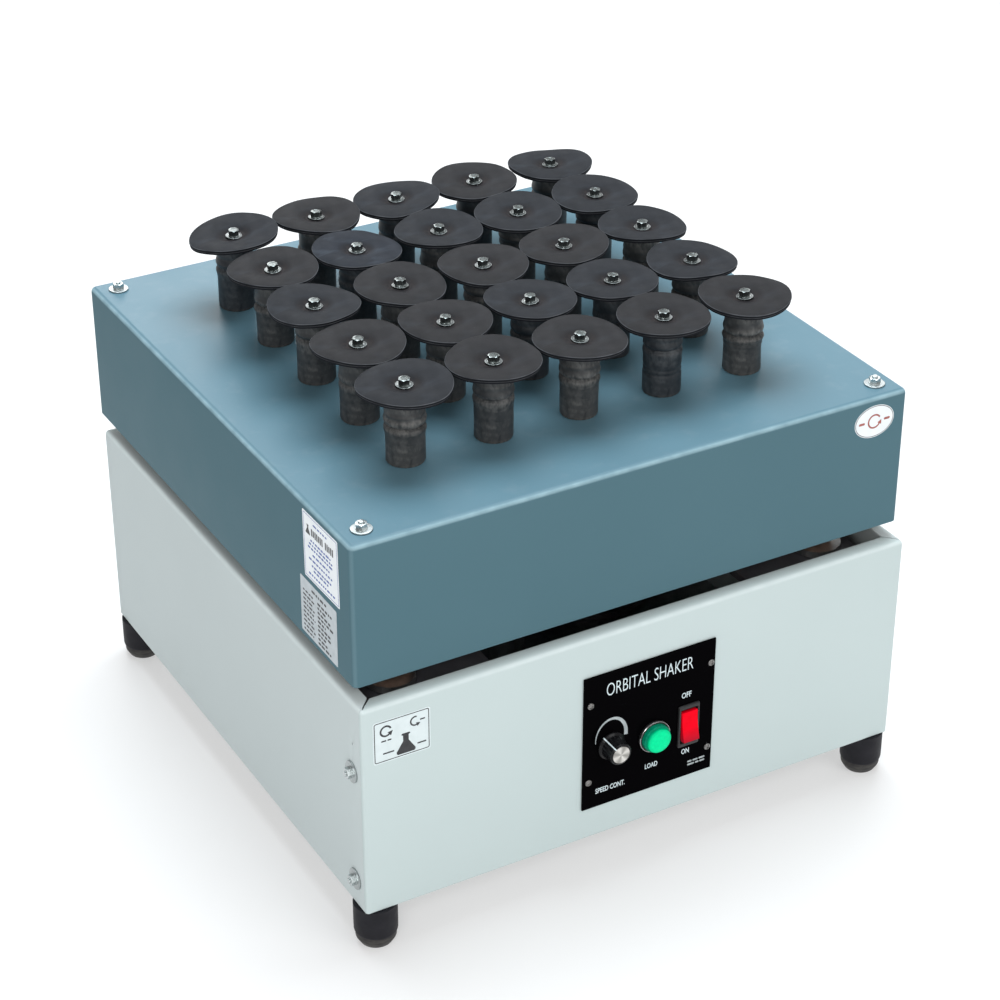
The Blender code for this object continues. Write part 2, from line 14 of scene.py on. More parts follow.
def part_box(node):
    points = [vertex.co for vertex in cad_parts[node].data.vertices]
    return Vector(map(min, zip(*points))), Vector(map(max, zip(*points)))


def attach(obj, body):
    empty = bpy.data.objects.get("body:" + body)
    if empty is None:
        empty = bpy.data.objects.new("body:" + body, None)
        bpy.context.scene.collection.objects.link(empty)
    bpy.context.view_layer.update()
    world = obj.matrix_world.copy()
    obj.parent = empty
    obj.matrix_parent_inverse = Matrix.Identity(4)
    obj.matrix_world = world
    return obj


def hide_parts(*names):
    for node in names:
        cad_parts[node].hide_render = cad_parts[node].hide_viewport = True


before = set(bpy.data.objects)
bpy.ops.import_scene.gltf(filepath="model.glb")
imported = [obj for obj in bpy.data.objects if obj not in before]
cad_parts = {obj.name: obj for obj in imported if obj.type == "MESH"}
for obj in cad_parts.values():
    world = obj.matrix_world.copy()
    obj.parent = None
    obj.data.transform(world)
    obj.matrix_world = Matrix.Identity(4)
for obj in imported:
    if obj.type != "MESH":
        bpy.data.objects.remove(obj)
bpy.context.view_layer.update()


def middle_of(node, **given):
    """The middle of a CAD node's box, except for a coordinate that is given."""
    low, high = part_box(node)
    middle = (low + high) / 2
    for axis, value in given.items():
        setattr(middle, axis, value)
    return middle


def foot_of(node):
    return middle_of(node, z=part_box(node)[0].z)


def back_of(node):
    return middle_of(node, y=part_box(node)[1].y)


def size_of(node):
    low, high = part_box(node)
    return high - low


# Places that come from the frame.
COVER_LOW, COVER_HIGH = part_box("platform_cover")
PLATFORM_TOP = COVER_HIGH.z
PLATFORM_Y = (COVER_LOW.y + COVER_HIGH.y) / 2
LEFT_LOW, LEFT_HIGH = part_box("left_panel")
PLATE_LOW, PLATE_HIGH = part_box("control_plate")
BASE_HALF = (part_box("right_panel")[1].x - LEFT_LOW.x) / 2
BASE_Y = (LEFT_LOW.y + LEFT_HIGH.y) / 2
BASE_FRONT = BASE_Y - BASE_HALF
BASE_REAR = BASE_Y + BASE_HALF
BASE_BOTTOM = LEFT_LOW.z
BASE_TOP = LEFT_HIGH.z
CORNERS = {"front_left": (-1, -1), "front_right": (1, -1), "rear_left": (-1, 1), "rear_right": (1, 1)}

# Thicknesses: sheet steel, print, a label's film, and the gap that keeps either off the face under it.
SHEET = 0.0015
INK = 0.00008
FILM = 0.00016
GAP = 0.00002
ON_FILM = (FILM, FILM + INK)

# A shape made along +Z is turned by these to face out of the top or one of the sides.
FACING_UP = Matrix.Identity(4)
FACING_FRONT = Matrix.Rotation(math.radians(90), 4, "X")
FACING_LEFT = Matrix.Rotation(math.radians(-90), 4, "Y")
FACING_RIGHT = Matrix.Rotation(math.radians(90), 4, "Y")
FACING_REAR = Matrix.Rotation(math.radians(-90), 4, "X")

# A flat shape on the XY plane is laid with its +Y along UP and its +X along one of the others.
UP = (0, 0, 1)
TO_RIGHT = (1, 0, 0)
TO_LEFT = (-1, 0, 0)
TO_FRONT = (0, -1, 0)


# --- materials ---


class Finish:
    """A material in the making: its shader, its colour and relief so far, and shorthand for nodes."""

    def __init__(self, name, roughness=0.5, metallic=0.0, specular=0.5):
        self.material = bpy.data.materials.new(name)
        self.material.use_nodes = True
        self.tree = self.material.node_tree
        self.shader = self.tree.nodes["Principled BSDF"]
        self.set("Roughness", roughness)
        self.set("Metallic", metallic)
        self.set("Specular IOR Level", specular)
        self.place = self.tree.nodes.new("ShaderNodeTexCoord").outputs["Object"]
        self.tint = None
        self.relief = None

    def set(self, name, value):
        """Links a node to the shader's socket, or sets the socket itself to a number or colour."""
        socket = self.shader.inputs[name]
        if isinstance(value, bpy.types.NodeSocket):
            self.tree.links.new(value, socket)
        else:
            socket.default_value = (*value, 1.0) if isinstance(value, tuple) else value

    def node(self, kind, inputs, **settings):
        made = self.tree.nodes.new("ShaderNode" + kind)
        for key, value in settings.items():
            setattr(made, key, value)
        for key, value in inputs.items():
            if isinstance(value, bpy.types.NodeSocket):
                self.tree.links.new(value, made.inputs[key])
            else:
                made.inputs[key].default_value = value
        return made

    def noise(self, scale, detail=3.0, stretch=None, distortion=0.0):
        place = self.place
        if stretch:
            place = self.node("Mapping", {"Vector": place, "Scale": stretch}).outputs[0]
        inputs = {"Vector": place, "Scale": scale, "Detail": detail, "Distortion": distortion}
        return self.node("TexNoise", inputs).outputs[0]

    def remap(self, value, low, high, to_low=0.0, to_high=1.0):
        inputs = {"Value": value, "From Min": low, "From Max": high, "To Min": to_low, "To Max": to_high}
        return self.node("MapRange", inputs).outputs[0]

    def cloud(self, scale, detail, low=0.3, high=0.7, to_low=0.0, to_high=1.0, stretch=None, distortion=0.0):
        """Noise whose range from low to high is drawn out to another."""
        return self.remap(self.noise(scale, detail, stretch, distortion), low, high, to_low, to_high)

    def math(self, operation, first, second=0.0):
        return self.node("Math", {0: first, 1: second}, operation=operation).outputs[0]

    def product(self, first, second):
        return self.math("MULTIPLY", first, second)

    def mix(self, factor, first, second):
        ends = [end if isinstance(end, bpy.types.NodeSocket) else (*end, 1.0) for end in (first, second)]
        inputs = {0: factor, 6: ends[0], 7: ends[1]}
        return self.node("Mix", inputs, data_type="RGBA").outputs[2]

    def mottle(self, scale, detail, dark, light):
        """Starts the colour with clouds of two tones."""
        self.tint = self.mix(self.cloud(scale, detail), dark, light)

    def over(self, colour, amount, *others):
        """Lays a colour over the colour so far, by the product of the amounts."""
        for other in others:
            amount = self.product(amount, other)
        self.tint = self.mix(amount, self.tint, colour)

    def bump(self, height, distance, strength):
        """Adds to the relief so far."""
        inputs = {"Height": height, "Distance": distance, "Strength": strength}
        if self.relief:
            inputs["Normal"] = self.relief
        self.relief = self.node("Bump", inputs).outputs[0]
        self.set("Normal", self.relief)

    def grain(self, scale, detail, distance, strength, stretch=None):
        self.bump(self.noise(scale, detail, stretch), distance, strength)

    def done(self, roughness=None):
        self.set("Base Color", self.tint)
        if roughness:
            self.set("Roughness", roughness)
        return self.material

    def normal(self):
        return self.node("NewGeometry", {}).outputs["Normal"]

    def edges(self, width):
        """1 at a sharp edge, falling to 0 at that distance from it."""
        rounded = self.node("Bevel", {"Radius": width}, samples=4).outputs[0]
        inputs = {0: rounded, 1: self.normal()}
        cosine = self.node("VectorMath", inputs, operation="DOT_PRODUCT").outputs["Value"]
        return self.remap(cosine, 0.97, 0.8)

    def upward(self):
        """1 on a face that looks up, 0 on one that stands upright or looks down."""
        return self.remap(self.node("SeparateXYZ", {0: self.normal()}).outputs[2], 0.2, 0.9)

    def fold(self):
        """1 on the rounded fold between a face that looks up and one that stands upright."""
        up = self.node("SeparateXYZ", {0: self.normal()}).outputs[2]
        return self.product(self.remap(up, 0.15, 0.45), self.remap(up, 0.94, 0.74))

    def upright_fold(self):
        """1 on the rounded corner between two upright faces that stand square to the axes."""
        parts = self.node("SeparateXYZ", {0: self.normal()}).outputs
        return self.remap(self.math("ABSOLUTE", self.product(parts[0], parts[1])), 0.3, 0.49)

    def radius(self):
        """Distance from the piece's own Z axis."""
        flat = self.node("Mapping", {"Vector": self.place, "Scale": (1.0, 1.0, 0.0)}).outputs[0]
        return self.node("VectorMath", {0: flat}, operation="LENGTH").outputs["Value"]

    def height(self):
        return self.node("SeparateXYZ", {0: self.place}).outputs[2]


def powder_coat(name, dark, light, chipped_and_highlight, roughness, gloss=0.02):
    """Sprayed and baked paint: clouds, grit, dust on top, orange peel, paler worn edges, and a painted
    highlight along its folds and upright corners.
    """
    made = Finish(name, specular=gloss)
    made.mottle(5, 4, dark, light)
    made.over(light, made.cloud(1500, 2, 0.35, 0.75, 0.0, 0.35))
    made.over((0.42, 0.42, 0.41), made.cloud(60, 6, 0.55, 0.85, 0.0, 0.07), made.upward())
    made.over(chipped_and_highlight, made.edges(0.0009), made.cloud(90, 5, 0.56, 0.72, 0.0, 0.7))
    # Painted highlight: the pale tone along the rounded folds between top and sides.
    made.over(chipped_and_highlight, made.fold(), made.cloud(70, 4, to_low=0.55, to_high=0.95))
    # Painted highlight: the pale tone down the rounded upright corners.
    made.over(chipped_and_highlight, made.upright_fold(), 0.18)
    made.grain(9, 1, 0.001, 0.12)
    made.grain(330, 2, 0.0001, 0.3)
    made.grain(1300, 2, 0.00005, 0.3)
    return made.done(made.cloud(22, 5, to_low=roughness - 0.03, to_high=roughness + 0.03))


def plain(name, dark, light, roughness, scale, depth, grain, edge_wear_and_glint=None, **options):
    """Cast, moulded or plated surfaces: mottled colour and gloss, fine grain and, if asked, a paler tone at
    the edges: wear, and on the post screws' zinc a painted highlight as well.
    """
    made = Finish(name, **options)
    made.mottle(scale, 5, dark, light)
    if edge_wear_and_glint:
        made.over(edge_wear_and_glint, made.edges(0.0008), made.cloud(200, 4, 0.4, 0.62))
    made.grain(grain, 3, depth, 0.5)
    return made.done(made.cloud(scale * 3, 4, to_low=roughness - 0.07, to_high=roughness + 0.08))


def plating(name, dark, light, roughness, scale, edge_wear_and_glint=None):
    return plain(name, dark, light, roughness, scale, 0.00001, 700, edge_wear_and_glint, metallic=1.0)


def print_ink(name, dark, light, roughness=0.5, **options):
    return plain(name, dark, light, roughness, 200, 0.00001, 1500, **options)


def disc_rubber(name, dark, light, smudge):
    """Matt rubber sheet: wiped in arcs and a little dusty round the washer, with painted shade in the dish
    round the washer and on the faces that do not look up, and a painted highlight at its arris.
    """
    made = Finish(name, specular=0.06)
    made.mottle(45, 6, dark, light)
    made.over((0.05, 0.062, 0.078), made.cloud(28, 6, 0.52, 0.78, 0.0, smudge, (1.0, 2.6, 1.0), 0.6))
    # Painted shade: dark in the dish round the washer.
    made.over((0.006, 0.006, 0.008), made.remap(made.radius(), 0.0175, 0.01, 0.0, 0.72))
    centre = made.remap(made.radius(), 0.017, 0.01, 0.0, 0.22)
    made.over((0.06, 0.044, 0.036), centre, made.cloud(260, 5))
    made.over((0.12, 0.12, 0.12), made.cloud(700, 2, 0.7, 0.78, 0.0, 0.16))
    # Painted shade: darker on the rim and underside, the faces that do not look up.
    made.over((0.011, 0.012, 0.015), made.math("SUBTRACT", 1.0, made.upward()))
    # Painted highlight: a paler line along the rounded upper arris of the rim.
    outer = made.remap(made.radius(), 0.03, 0.033)
    made.over((0.085, 0.09, 0.098), made.fold(), outer, made.cloud(90, 4, 0.3, 0.6, 0.35, 1.0))
    made.grain(120, 4, 0.00012, 0.25)
    made.grain(1700, 2, 0.00005, 0.4)
    return made.done(made.cloud(60, 5, to_low=0.56, to_high=0.72))


def sleeve_rubber(name, dark, light, scuff, amount):
    """Rubber tube rubbed by flasks: streaks and patches, paler scuffs in bands, dust at its foot."""
    made = Finish(name, specular=0.3)
    streaks = made.cloud(150, 7, 0.34, 0.68, stretch=(1.0, 1.0, 0.7), distortion=0.8)
    made.tint = made.mix(streaks, dark, light)
    made.over(dark, made.cloud(75, 4, 0.36, 0.62, 0.0, 0.65, (1.0, 1.0, 0.8)))
    bands = made.cloud(60, 3, 0.46, 0.66, stretch=(0.1, 0.1, 1.0))
    made.over(scuff, bands, made.cloud(380, 6, 0.4, 0.7, stretch=(1.0, 1.0, 0.45)), amount)
    made.over((0.12, 0.1, 0.08), made.remap(made.height(), 0.003, 0.0, 0.0, 0.5), made.cloud(300, 4))
    made.grain(300, 4, 0.00016, 0.4, (1.0, 1.0, 0.25))
    made.grain(1500, 2, 0.00005, 0.35)
    return made.done(made.remap(streaks, 0.0, 1.0, 0.38, 0.56))


def foot_rubber():
    """Moulded rubber, bluish black above and paler grey low down, where it meets the bench."""
    made = Finish("foot_rubber_look", specular=0.18)
    made.mottle(80, 5, (0.009, 0.009, 0.012), (0.017, 0.0165, 0.021))
    # Paler grey below the ridge, towards the lower edge.
    low = made.remap(made.height(), 0.0122, 0.0112)
    made.over((0.07, 0.067, 0.062), low, made.cloud(150, 6, 0.25, 0.7, 0.25, 0.9, (1.0, 1.0, 3.0)))
    made.grain(420, 4, 0.00012, 0.4)
    made.grain(1600, 2, 0.00005, 0.4)
    return made.done(made.cloud(90, 4, to_low=0.45, to_high=0.62))


def gloss_plate():
    """Gloss black acrylic with faint dust and finger smears."""
    made = Finish("gloss_black_plate", specular=0.004)
    made.tint = (0.0016, 0.0014, 0.0018)
    made.over((0.2, 0.2, 0.21), made.cloud(1100, 2, 0.72, 0.8, 0.0, 0.06))
    made.grain(240, 2, 0.00002, 0.12)
    return made.done(made.cloud(55, 5, 0.45, 0.75, 0.05, 0.16, (1.0, 1.0, 0.6), 1.0))


def spun_metal():
    """The knob's cap: aluminium faced on a lathe, with painted highlight and shade in four fans round the
    centre.
    """
    made = Finish("spun_aluminium", roughness=0.3, metallic=1.0)
    made.set("Anisotropic", 0.85)
    made.set("Tangent", made.node("Tangent", {}, direction_type="RADIAL", axis="Z").outputs[0])
    # Painted highlight and shade: pale and dark sectors by angle round the centre.
    parts = made.node("SeparateXYZ", {0: made.place}).outputs
    four_turns = made.product(made.math("ARCTAN2", parts[1], parts[0]), 4.0)
    painted_fan_sheen = made.remap(made.math("SINE", four_turns), -1.0, 1.0)
    silver = made.mix(made.cloud(300, 3), (0.66, 0.63, 0.59), (0.76, 0.73, 0.69))
    made.tint = made.mix(painted_fan_sheen, (0.34, 0.325, 0.3), silver)
    rings = made.math("SINE", made.product(made.radius(), 30000.0))
    made.bump(rings, 0.00001, 0.25)
    return made.done()


def rocker_red():
    """Clear red plastic: bright on its face, with painted shade that turns it deeper red towards the bottom.
    """
    made = Finish("rocker_red_plastic", roughness=0.34, specular=0.03)
    made.mottle(160, 5, (0.84, 0.0008, 0.012), (0.95, 0.0012, 0.016))
    # Painted shade: darker red towards the rocker's lower end.
    made.over((0.42, 0.01, 0.026), made.remap(made.height(), -0.001, -0.0125, 0.0, 0.9))
    made.grain(900, 3, 0.00002, 0.5)
    return made.done()


def lit_lens():
    """Green lens over a lamp: it glows, least at its rim and down its deep green side."""
    made = Finish("lit_green_lens", roughness=0.22, specular=0.06)
    cells = made.cloud(420, 2)
    front = made.mix(cells, (0.0, 0.4, 0.17), (0.0, 0.48, 0.21))
    deep = made.mix(cells, (0.001, 0.18, 0.1), (0.001, 0.25, 0.14))
    made.tint = made.mix(made.remap(made.height(), 0.007, 0.0094), deep, front)
    glow = made.remap(made.height(), 0.0076, 0.0098, 0.05, 0.42)
    near_rim = made.remap(made.radius(), 0.0112, 0.0085, 0.45, 1.0)
    made.set("Emission Color", (0.0, 0.9, 0.36))
    made.set("Emission Strength", made.product(glow, near_rim))
    made.grain(600, 2, 0.00003, 0.2)
    return made.done()


def label_film(name, dark, light, roughness):
    made = Finish(name)
    made.mottle(120, 5, dark, light)
    made.grain(180, 2, 0.00006, 0.3)
    return made.done(made.cloud(60, 4, to_low=roughness - 0.06, to_high=roughness + 0.08))


def studio_paper():
    """The pale floor, which gives a little light of its own."""
    made = Finish("pale_floor", roughness=0.85, specular=0.05)
    made.mottle(2, 2, (0.46, 0.46, 0.46), (0.48, 0.48, 0.48))
    made.set("Emission Color", (1.0, 1.0, 1.0))
    made.set("Emission Strength", 0.42)
    return made.done()


# Paint, as its darker and lighter tone, its tone at worn edges and in the painted highlight along folds, its
# roughness and gloss.
BLUE_CHIP_AND_HIGHLIGHT = (0.27, 0.4, 0.45)
BLUE_PAINT = powder_coat(
    "blue_grey_coat", (0.083, 0.163, 0.205), (0.091, 0.174, 0.217), BLUE_CHIP_AND_HIGHLIGHT, 0.38, 0.14
)
# Painted shade: a darker, less blue copy of the blue paint, for the cover's upright faces.
BLUE_SHADED_SIDE_PAINT = powder_coat(
    "blue_grey_coat_shaded_sides", (0.08, 0.156, 0.187), (0.087, 0.166, 0.198), BLUE_CHIP_AND_HIGHLIGHT, 0.42
)
AQUA_PAINT = powder_coat(
    "pale_aqua_coat", (0.522, 0.606, 0.604), (0.546, 0.63, 0.628), (0.66, 0.74, 0.74), 0.4, 0.05
)
# Painted shade: a more neutral, slightly redder copy of the aqua paint, for the left and right panels.
AQUA_SHADED_SIDE_PAINT = powder_coat(
    "pale_aqua_coat_shaded_sides", (0.545, 0.606, 0.608), (0.568, 0.63, 0.632), (0.66, 0.73, 0.73), 0.44
)

# Rubber, as its darker and lighter tone, and how much it is smudged or scuffed.
DISC_RUBBERS = [
    disc_rubber("disc_rubber_brown", (0.015, 0.015, 0.0162), (0.0225, 0.0222, 0.024), 0.18),
    disc_rubber("disc_rubber_grey", (0.014, 0.0152, 0.0178), (0.021, 0.0224, 0.026), 0.26),
]
WIPED_DISC_RUBBER = disc_rubber("disc_rubber_scuffed", (0.013, 0.0155, 0.02), (0.022, 0.025, 0.032), 0.7)
SLEEVE_RUBBERS = [
    sleeve_rubber(f"sleeve_rubber_{name}", dark, light, scuff, amount)
    for name, dark, light, scuff, amount in (
        ("scuffed", (0.026, 0.028, 0.03), (0.07, 0.072, 0.073), (0.25, 0.246, 0.235), 0.7),
        ("dark", (0.016, 0.019, 0.023), (0.05, 0.056, 0.062), (0.17, 0.182, 0.19), 0.5),
        ("worn", (0.032, 0.033, 0.034), (0.086, 0.087, 0.086), (0.28, 0.272, 0.255), 0.7),
    )
]
FOOT_RUBBER = foot_rubber()
BELT = plain("belt_rubber_look", (0.015, 0.015, 0.016), (0.03, 0.03, 0.031), 0.62, 70, 0.0001, 800)

ZINC = plating("bright_zinc", (0.46, 0.5, 0.5), (0.62, 0.66, 0.66), 0.3, 200)
WASHER_ZINC = plating("panel_washer_zinc", (0.34, 0.37, 0.37), (0.46, 0.49, 0.49), 0.4, 120)
# The bright edge tone of the post screws' heads and washers is wear and painted highlight together.
BOLT_ZINC = plating("post_bolt_zinc", (0.11, 0.125, 0.125), (0.22, 0.245, 0.24), 0.3, 260, (0.7, 0.74, 0.73))
DARK_ZINC = plating(
    "dark_washer_zinc", (0.105, 0.115, 0.115), (0.185, 0.2, 0.2), 0.32, 240, (0.75, 0.8, 0.8)
)
CHROME = plating("bezel_chrome_look", (0.34, 0.33, 0.33), (0.44, 0.43, 0.43), 0.16, 90)
DULL_ZINC = plain(
    "dull_zinc", (0.42, 0.43, 0.43), (0.56, 0.57, 0.56), 0.38, 90, 0.00002, 900, metallic=1.0
)
SCREW_STEEL = plain(
    "screw_steel", (0.17, 0.165, 0.16), (0.34, 0.33, 0.32), 0.32, 260, 0.00003, 1200, metallic=1.0
)
BRASS = plain("pin_brass", (0.58, 0.52, 0.36), (0.74, 0.68, 0.5), 0.25, 120, 0.00002, 900, metallic=1.0)
SPUN = spun_metal()
WORN_ALLOY = (0.6, 0.6, 0.6)
CAST = plain(
    "cast_alloy_look", (0.3, 0.31, 0.32), (0.44, 0.45, 0.46), 0.48, 50, 0.00015, 400, WORN_ALLOY, metallic=0.9
)
WORN_PRIMER = (0.56, 0.44, 0.36)
PRIMER = plain(
    "brown_primer_look", (0.6, 0.35, 0.24), (0.76, 0.48, 0.345), 0.5, 60, 0.00008, 500, WORN_PRIMER
)
WORN_BLACK = (0.2, 0.14, 0.1)
FRAME_PAINT = plain(
    "frame_black_paint", (0.045, 0.044, 0.05), (0.08, 0.078, 0.086), 0.42, 40, 0.00008, 350, WORN_BLACK
)

GLOSS_PLATE = gloss_plate()
KNOB_PLASTIC = plain(
    "knob_phenolic",
    (0.004, 0.004, 0.005),
    (0.008, 0.008, 0.009),
    0.26, 120, 0.00003, 900, (0.05, 0.05, 0.05), specular=0.22,
)
SWITCH_PLASTIC = plain(
    "switch_plastic",
    (0.012, 0.012, 0.013),
    (0.02, 0.02, 0.021),
    0.36, 120, 0.00004, 1100, (0.06, 0.06, 0.06), specular=0.4,
)
ROCKER_PLASTIC = rocker_red()
LENS = lit_lens()

PRINT_WHITE = print_ink("white_print", (0.6, 0.7, 0.73), (0.72, 0.82, 0.85), 0.45, specular=0.1)
PRINT_GREY = print_ink("grey_print", (0.3, 0.34, 0.35), (0.44, 0.49, 0.5), 0.45)
PRINT_DARK = print_ink("dark_print", (0.018, 0.019, 0.022), (0.034, 0.036, 0.04))
PRINT_BLUE = print_ink("blue_print", (0.03, 0.075, 0.3), (0.05, 0.105, 0.38))
PRINT_BRICK = print_ink("brick_print", (0.3, 0.085, 0.07), (0.4, 0.12, 0.095))
LABEL_WHITE = label_film("white_label_film", (0.78, 0.82, 0.85), (0.84, 0.88, 0.9), 0.4)
LABEL_AQUA = label_film("tinted_label_film", (0.64, 0.72, 0.73), (0.7, 0.78, 0.79), 0.42)
LABEL_SILVER = label_film("silver_label_film", (0.4, 0.45, 0.48), (0.5, 0.55, 0.58), 0.36)


# --- shapes ---


def add_object(name, data):
    obj = bpy.data.objects.new(name, data)
    bpy.context.scene.collection.objects.link(obj)
    return obj


def mesh_from(name, bm):
    mesh = bpy.data.meshes.new(name)
    bm.to_mesh(mesh)
    bm.free()
    return mesh


def shade(mesh, degrees):
    """Smooth shading, except across edges sharper than that angle."""
    mesh.shade_smooth()
    mesh.set_sharp_from_angle(angle=math.radians(degrees))


def make(name, bm, finishes, body, origin=(0, 0, 0), replaces=(), smooth=35):
    """Turns the mesh into a piece that rides on a CAD body. The mesh is about the origin given."""
    bmesh.ops.recalc_face_normals(bm, faces=bm.faces)
    mesh = mesh_from(name, bm)
    for finish in finishes if isinstance(finishes, list) else [finishes]:
        mesh.materials.append(finish)
    shade(mesh, smooth)
    obj = add_object(name, mesh)
    obj.location = origin
    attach(obj, body)
    if replaces:
        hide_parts(*replaces)
    return obj


def moved(bm, matrix):
    bmesh.ops.transform(bm, matrix=matrix, verts=bm.verts)
    return bm


def on_plane(bm, origin, across, up):
    """Lays a mesh made on the XY plane onto a face with these directions, with its +Z facing out."""
    across = Vector(across)
    up = Vector(up)
    turn = Matrix((across, up, across.cross(up))).transposed().to_4x4()
    return moved(bm, Matrix.Translation(origin) @ turn)


def evaluated_mesh(obj):
    """The object's mesh with its modifiers, or its outline as a mesh if it is text."""
    bpy.context.view_layer.update()
    graph = bpy.context.evaluated_depsgraph_get()
    return bpy.data.meshes.new_from_object(obj.evaluated_get(graph))


def carve(obj, cutters):
    """Cuts each mesh out of the object and forgets it. Earlier modifiers are applied too."""
    helpers = []
    for number, bm in enumerate(cutters):
        bmesh.ops.recalc_face_normals(bm, faces=bm.faces)
        helper = add_object(f"cutter_{number}", mesh_from(f"cutter_{number}", bm))
        helpers.append(helper)
        cut = obj.modifiers.new(helper.name, "BOOLEAN")
        cut.operation = "DIFFERENCE"
        cut.solver = "EXACT"
        cut.object = helper
    mesh = evaluated_mesh(obj)
    obj.modifiers.clear()
    obj.data = mesh
    for helper in helpers:
        bpy.data.objects.remove(helper)
    return obj


def thicken(obj, offset):
    """Gives a sheet its thickness, behind its faces (-1) or in front of them (1)."""
    wall = obj.modifiers.new("wall", "SOLIDIFY")
    wall.thickness = SHEET
    wall.offset = offset
    wall.use_even_offset = True


def soften(obj, width, segments=3, angle=40):
    """Rounds the edges sharper than that angle."""
    bevel = obj.modifiers.new("soft_edges", "BEVEL")
    bevel.width = width
    bevel.segments = segments
    bevel.limit_method = "ANGLE"
    bevel.angle_limit = math.radians(angle)
    bevel.harden_normals = False


def clamp(value):
    return min(1.0, max(0, value))


def polar(radius, angle, centre=(0, 0)):
    return (centre[0] + radius * math.cos(angle), centre[1] + radius * math.sin(angle))


def fillet(points, steps=5):
    """Rounds the corners of an open line of (x, y) or (x, y, radius) points."""
    line = []
    last = len(points) - 1
    for i, point in enumerate(points):
        here = Vector(point[:2])
        if len(point) < 3 or i in (0, last):
            line.append(here)
            continue
        before = Vector(points[i - 1][:2]) - here
        after = Vector(points[i + 1][:2]) - here
        reach = point[2] / math.tan(before.angle(after) / 2)
        reach = min(reach, before.length * 0.49, after.length * 0.49)
        start = here + before.normalized() * reach
        end = here + after.normalized() * reach
        for step in range(steps + 1):
            t = step / steps
            line.append(start * (1 - t) ** 2 + here * 2 * t * (1 - t) + end * t * t)
    return line


def sheet(bm, rows):
    """Faces between rows of vertices."""
    for lower, upper in zip(rows, rows[1:]):
        for i in range(len(lower) - 1):
            bm.faces.new((lower[i], lower[i + 1], upper[i + 1], upper[i]))


def skin(bm, rings, closed=False):
    """Faces between rings of points. The end rings are capped, unless the last meets the first."""
    rows = [[bm.verts.new(point) for point in ring] for ring in rings]
    pairs = list(zip(rows, rows[1:]))
    if closed:
        pairs.append((rows[-1], rows[0]))
    for lower, upper in pairs:
        for i in range(len(lower)):
            j = (i + 1) % len(lower)
            bm.faces.new((lower[i], lower[j], upper[j], upper[i]))
    if not closed:
        bm.faces.new(list(reversed(rows[0])))
        bm.faces.new(rows[-1])
    return bm


def circle(radius, height, segments, start=0):
    return [(*polar(radius, math.tau * i / segments + start), height) for i in range(segments)]


def lathe(profile, segments=64, ring=False, bm=None):
    """A solid of revolution about Z from (radius, height) points. A ring's profile is a closed loop."""
    least = 1e-5
    rings = [circle(max(radius, least), height, segments) for radius, height in profile]
    return skin(bm or bmesh.new(), rings, closed=ring)


def nearly_round(outline, segments, reach, cap=()):
    """A solid about Z whose radius is reach(radius, angle, height), and plain rings that cap it."""
    angles = [math.tau * i / segments for i in range(segments)]
    rings = [[(*polar(reach(r, a, z), a), z) for a in angles] for r, z in outline]
    return skin(bmesh.new(), rings + [circle(r, z, segments) for r, z in cap])


def loops(outlines, closed=False, bm=None):
    """A solid through flat outlines, given as (outline, height) pairs."""
    return skin(bm or bmesh.new(), [[(x, y, z) for x, y in line] for line, z in outlines], closed)


def prism(outline, low, high, bm=None):
    """A flat shape of (x, y) points, with thickness."""
    return loops([(outline, low), (outline, high)], bm=bm)


def band(outer, inner, low, high):
    """The flat band between two outlines with the same number of points, with thickness."""
    return loops([(outer, low), (outer, high), (inner, high), (inner, low)], closed=True)


def section(first, second, low, high):
    """The four corners of a flat strip's cross-section between two points."""
    return [(*first, low), (*second, low), (*second, high), (*first, high)]


def rectangle_between(x0, y0, x1, y1):
    return [(x0, y0), (x1, y0), (x1, y1), (x0, y1)]


def rectangle(width, height, radius, centre=(0, 0), steps=6):
    """The outline of a rectangle with rounded corners."""
    points = []
    for quarter, (side, end) in enumerate(((1, 1), (-1, 1), (-1, -1), (1, -1))):
        x = centre[0] + side * (width / 2 - radius)
        y = centre[1] + end * (height / 2 - radius)
        for step in range(steps + 1):
            points.append(polar(radius, math.radians(90 * (quarter + step / steps)), (x, y)))
    return points


def ellipse(width, height, steps=64):
    angles = [math.tau * i / steps for i in range(steps)]
    return [(width / 2 * math.cos(angle), height / 2 * math.sin(angle)) for angle in angles]


# --- screws ---

# Each hexagon-head screw: across its flats, the head's height, the washer's width and thickness, how far
# its shank stands out of the head, and the finishes of the washer and the head.
COVER_SCREW = (0.0088, 0.0046, 0.0178, 0.0014, 0.0016, [WASHER_ZINC, ZINC])
POST_SCREW = (0.0086, 0.005, 0.0146, 0.0012, 0, [DARK_ZINC, BOLT_ZINC])
PANEL_SCREW = (0.0086, 0.004, 0.019, 0.0015, 0.0014, [WASHER_ZINC, ZINC])

# Each cross-recess screw: its radius and height.
PLATE_SCREW = (0.0031, 0.0017)
INLET_SCREW = (0.0027, 0.0015)


def hex_head(across, height, bottom, bm, angle):
    """A bolt head whose corners are chamfered by a cone, with a shallow dish in its top."""
    segments = 48
    flat = across / 2
    top = bottom + height
    low, shoulder = [], []
    for i in range(segments):
        turn = math.tau * i / segments
        from_flat = (turn + math.radians(30)) % math.radians(60) - math.radians(30)
        reach = flat / math.cos(from_flat)
        drop = max(0, reach - flat * 0.985) * math.tan(math.radians(32))
        place = polar(reach, turn + angle)
        low.append((*place, bottom))
        shoulder.append((*place, top - drop))
    inner = ((0.93, top), (0.62, top), (0.54, top - 0.0003))
    return skin(bm, [low, shoulder, *(circle(flat * part, up, segments, angle) for part, up in inner)])


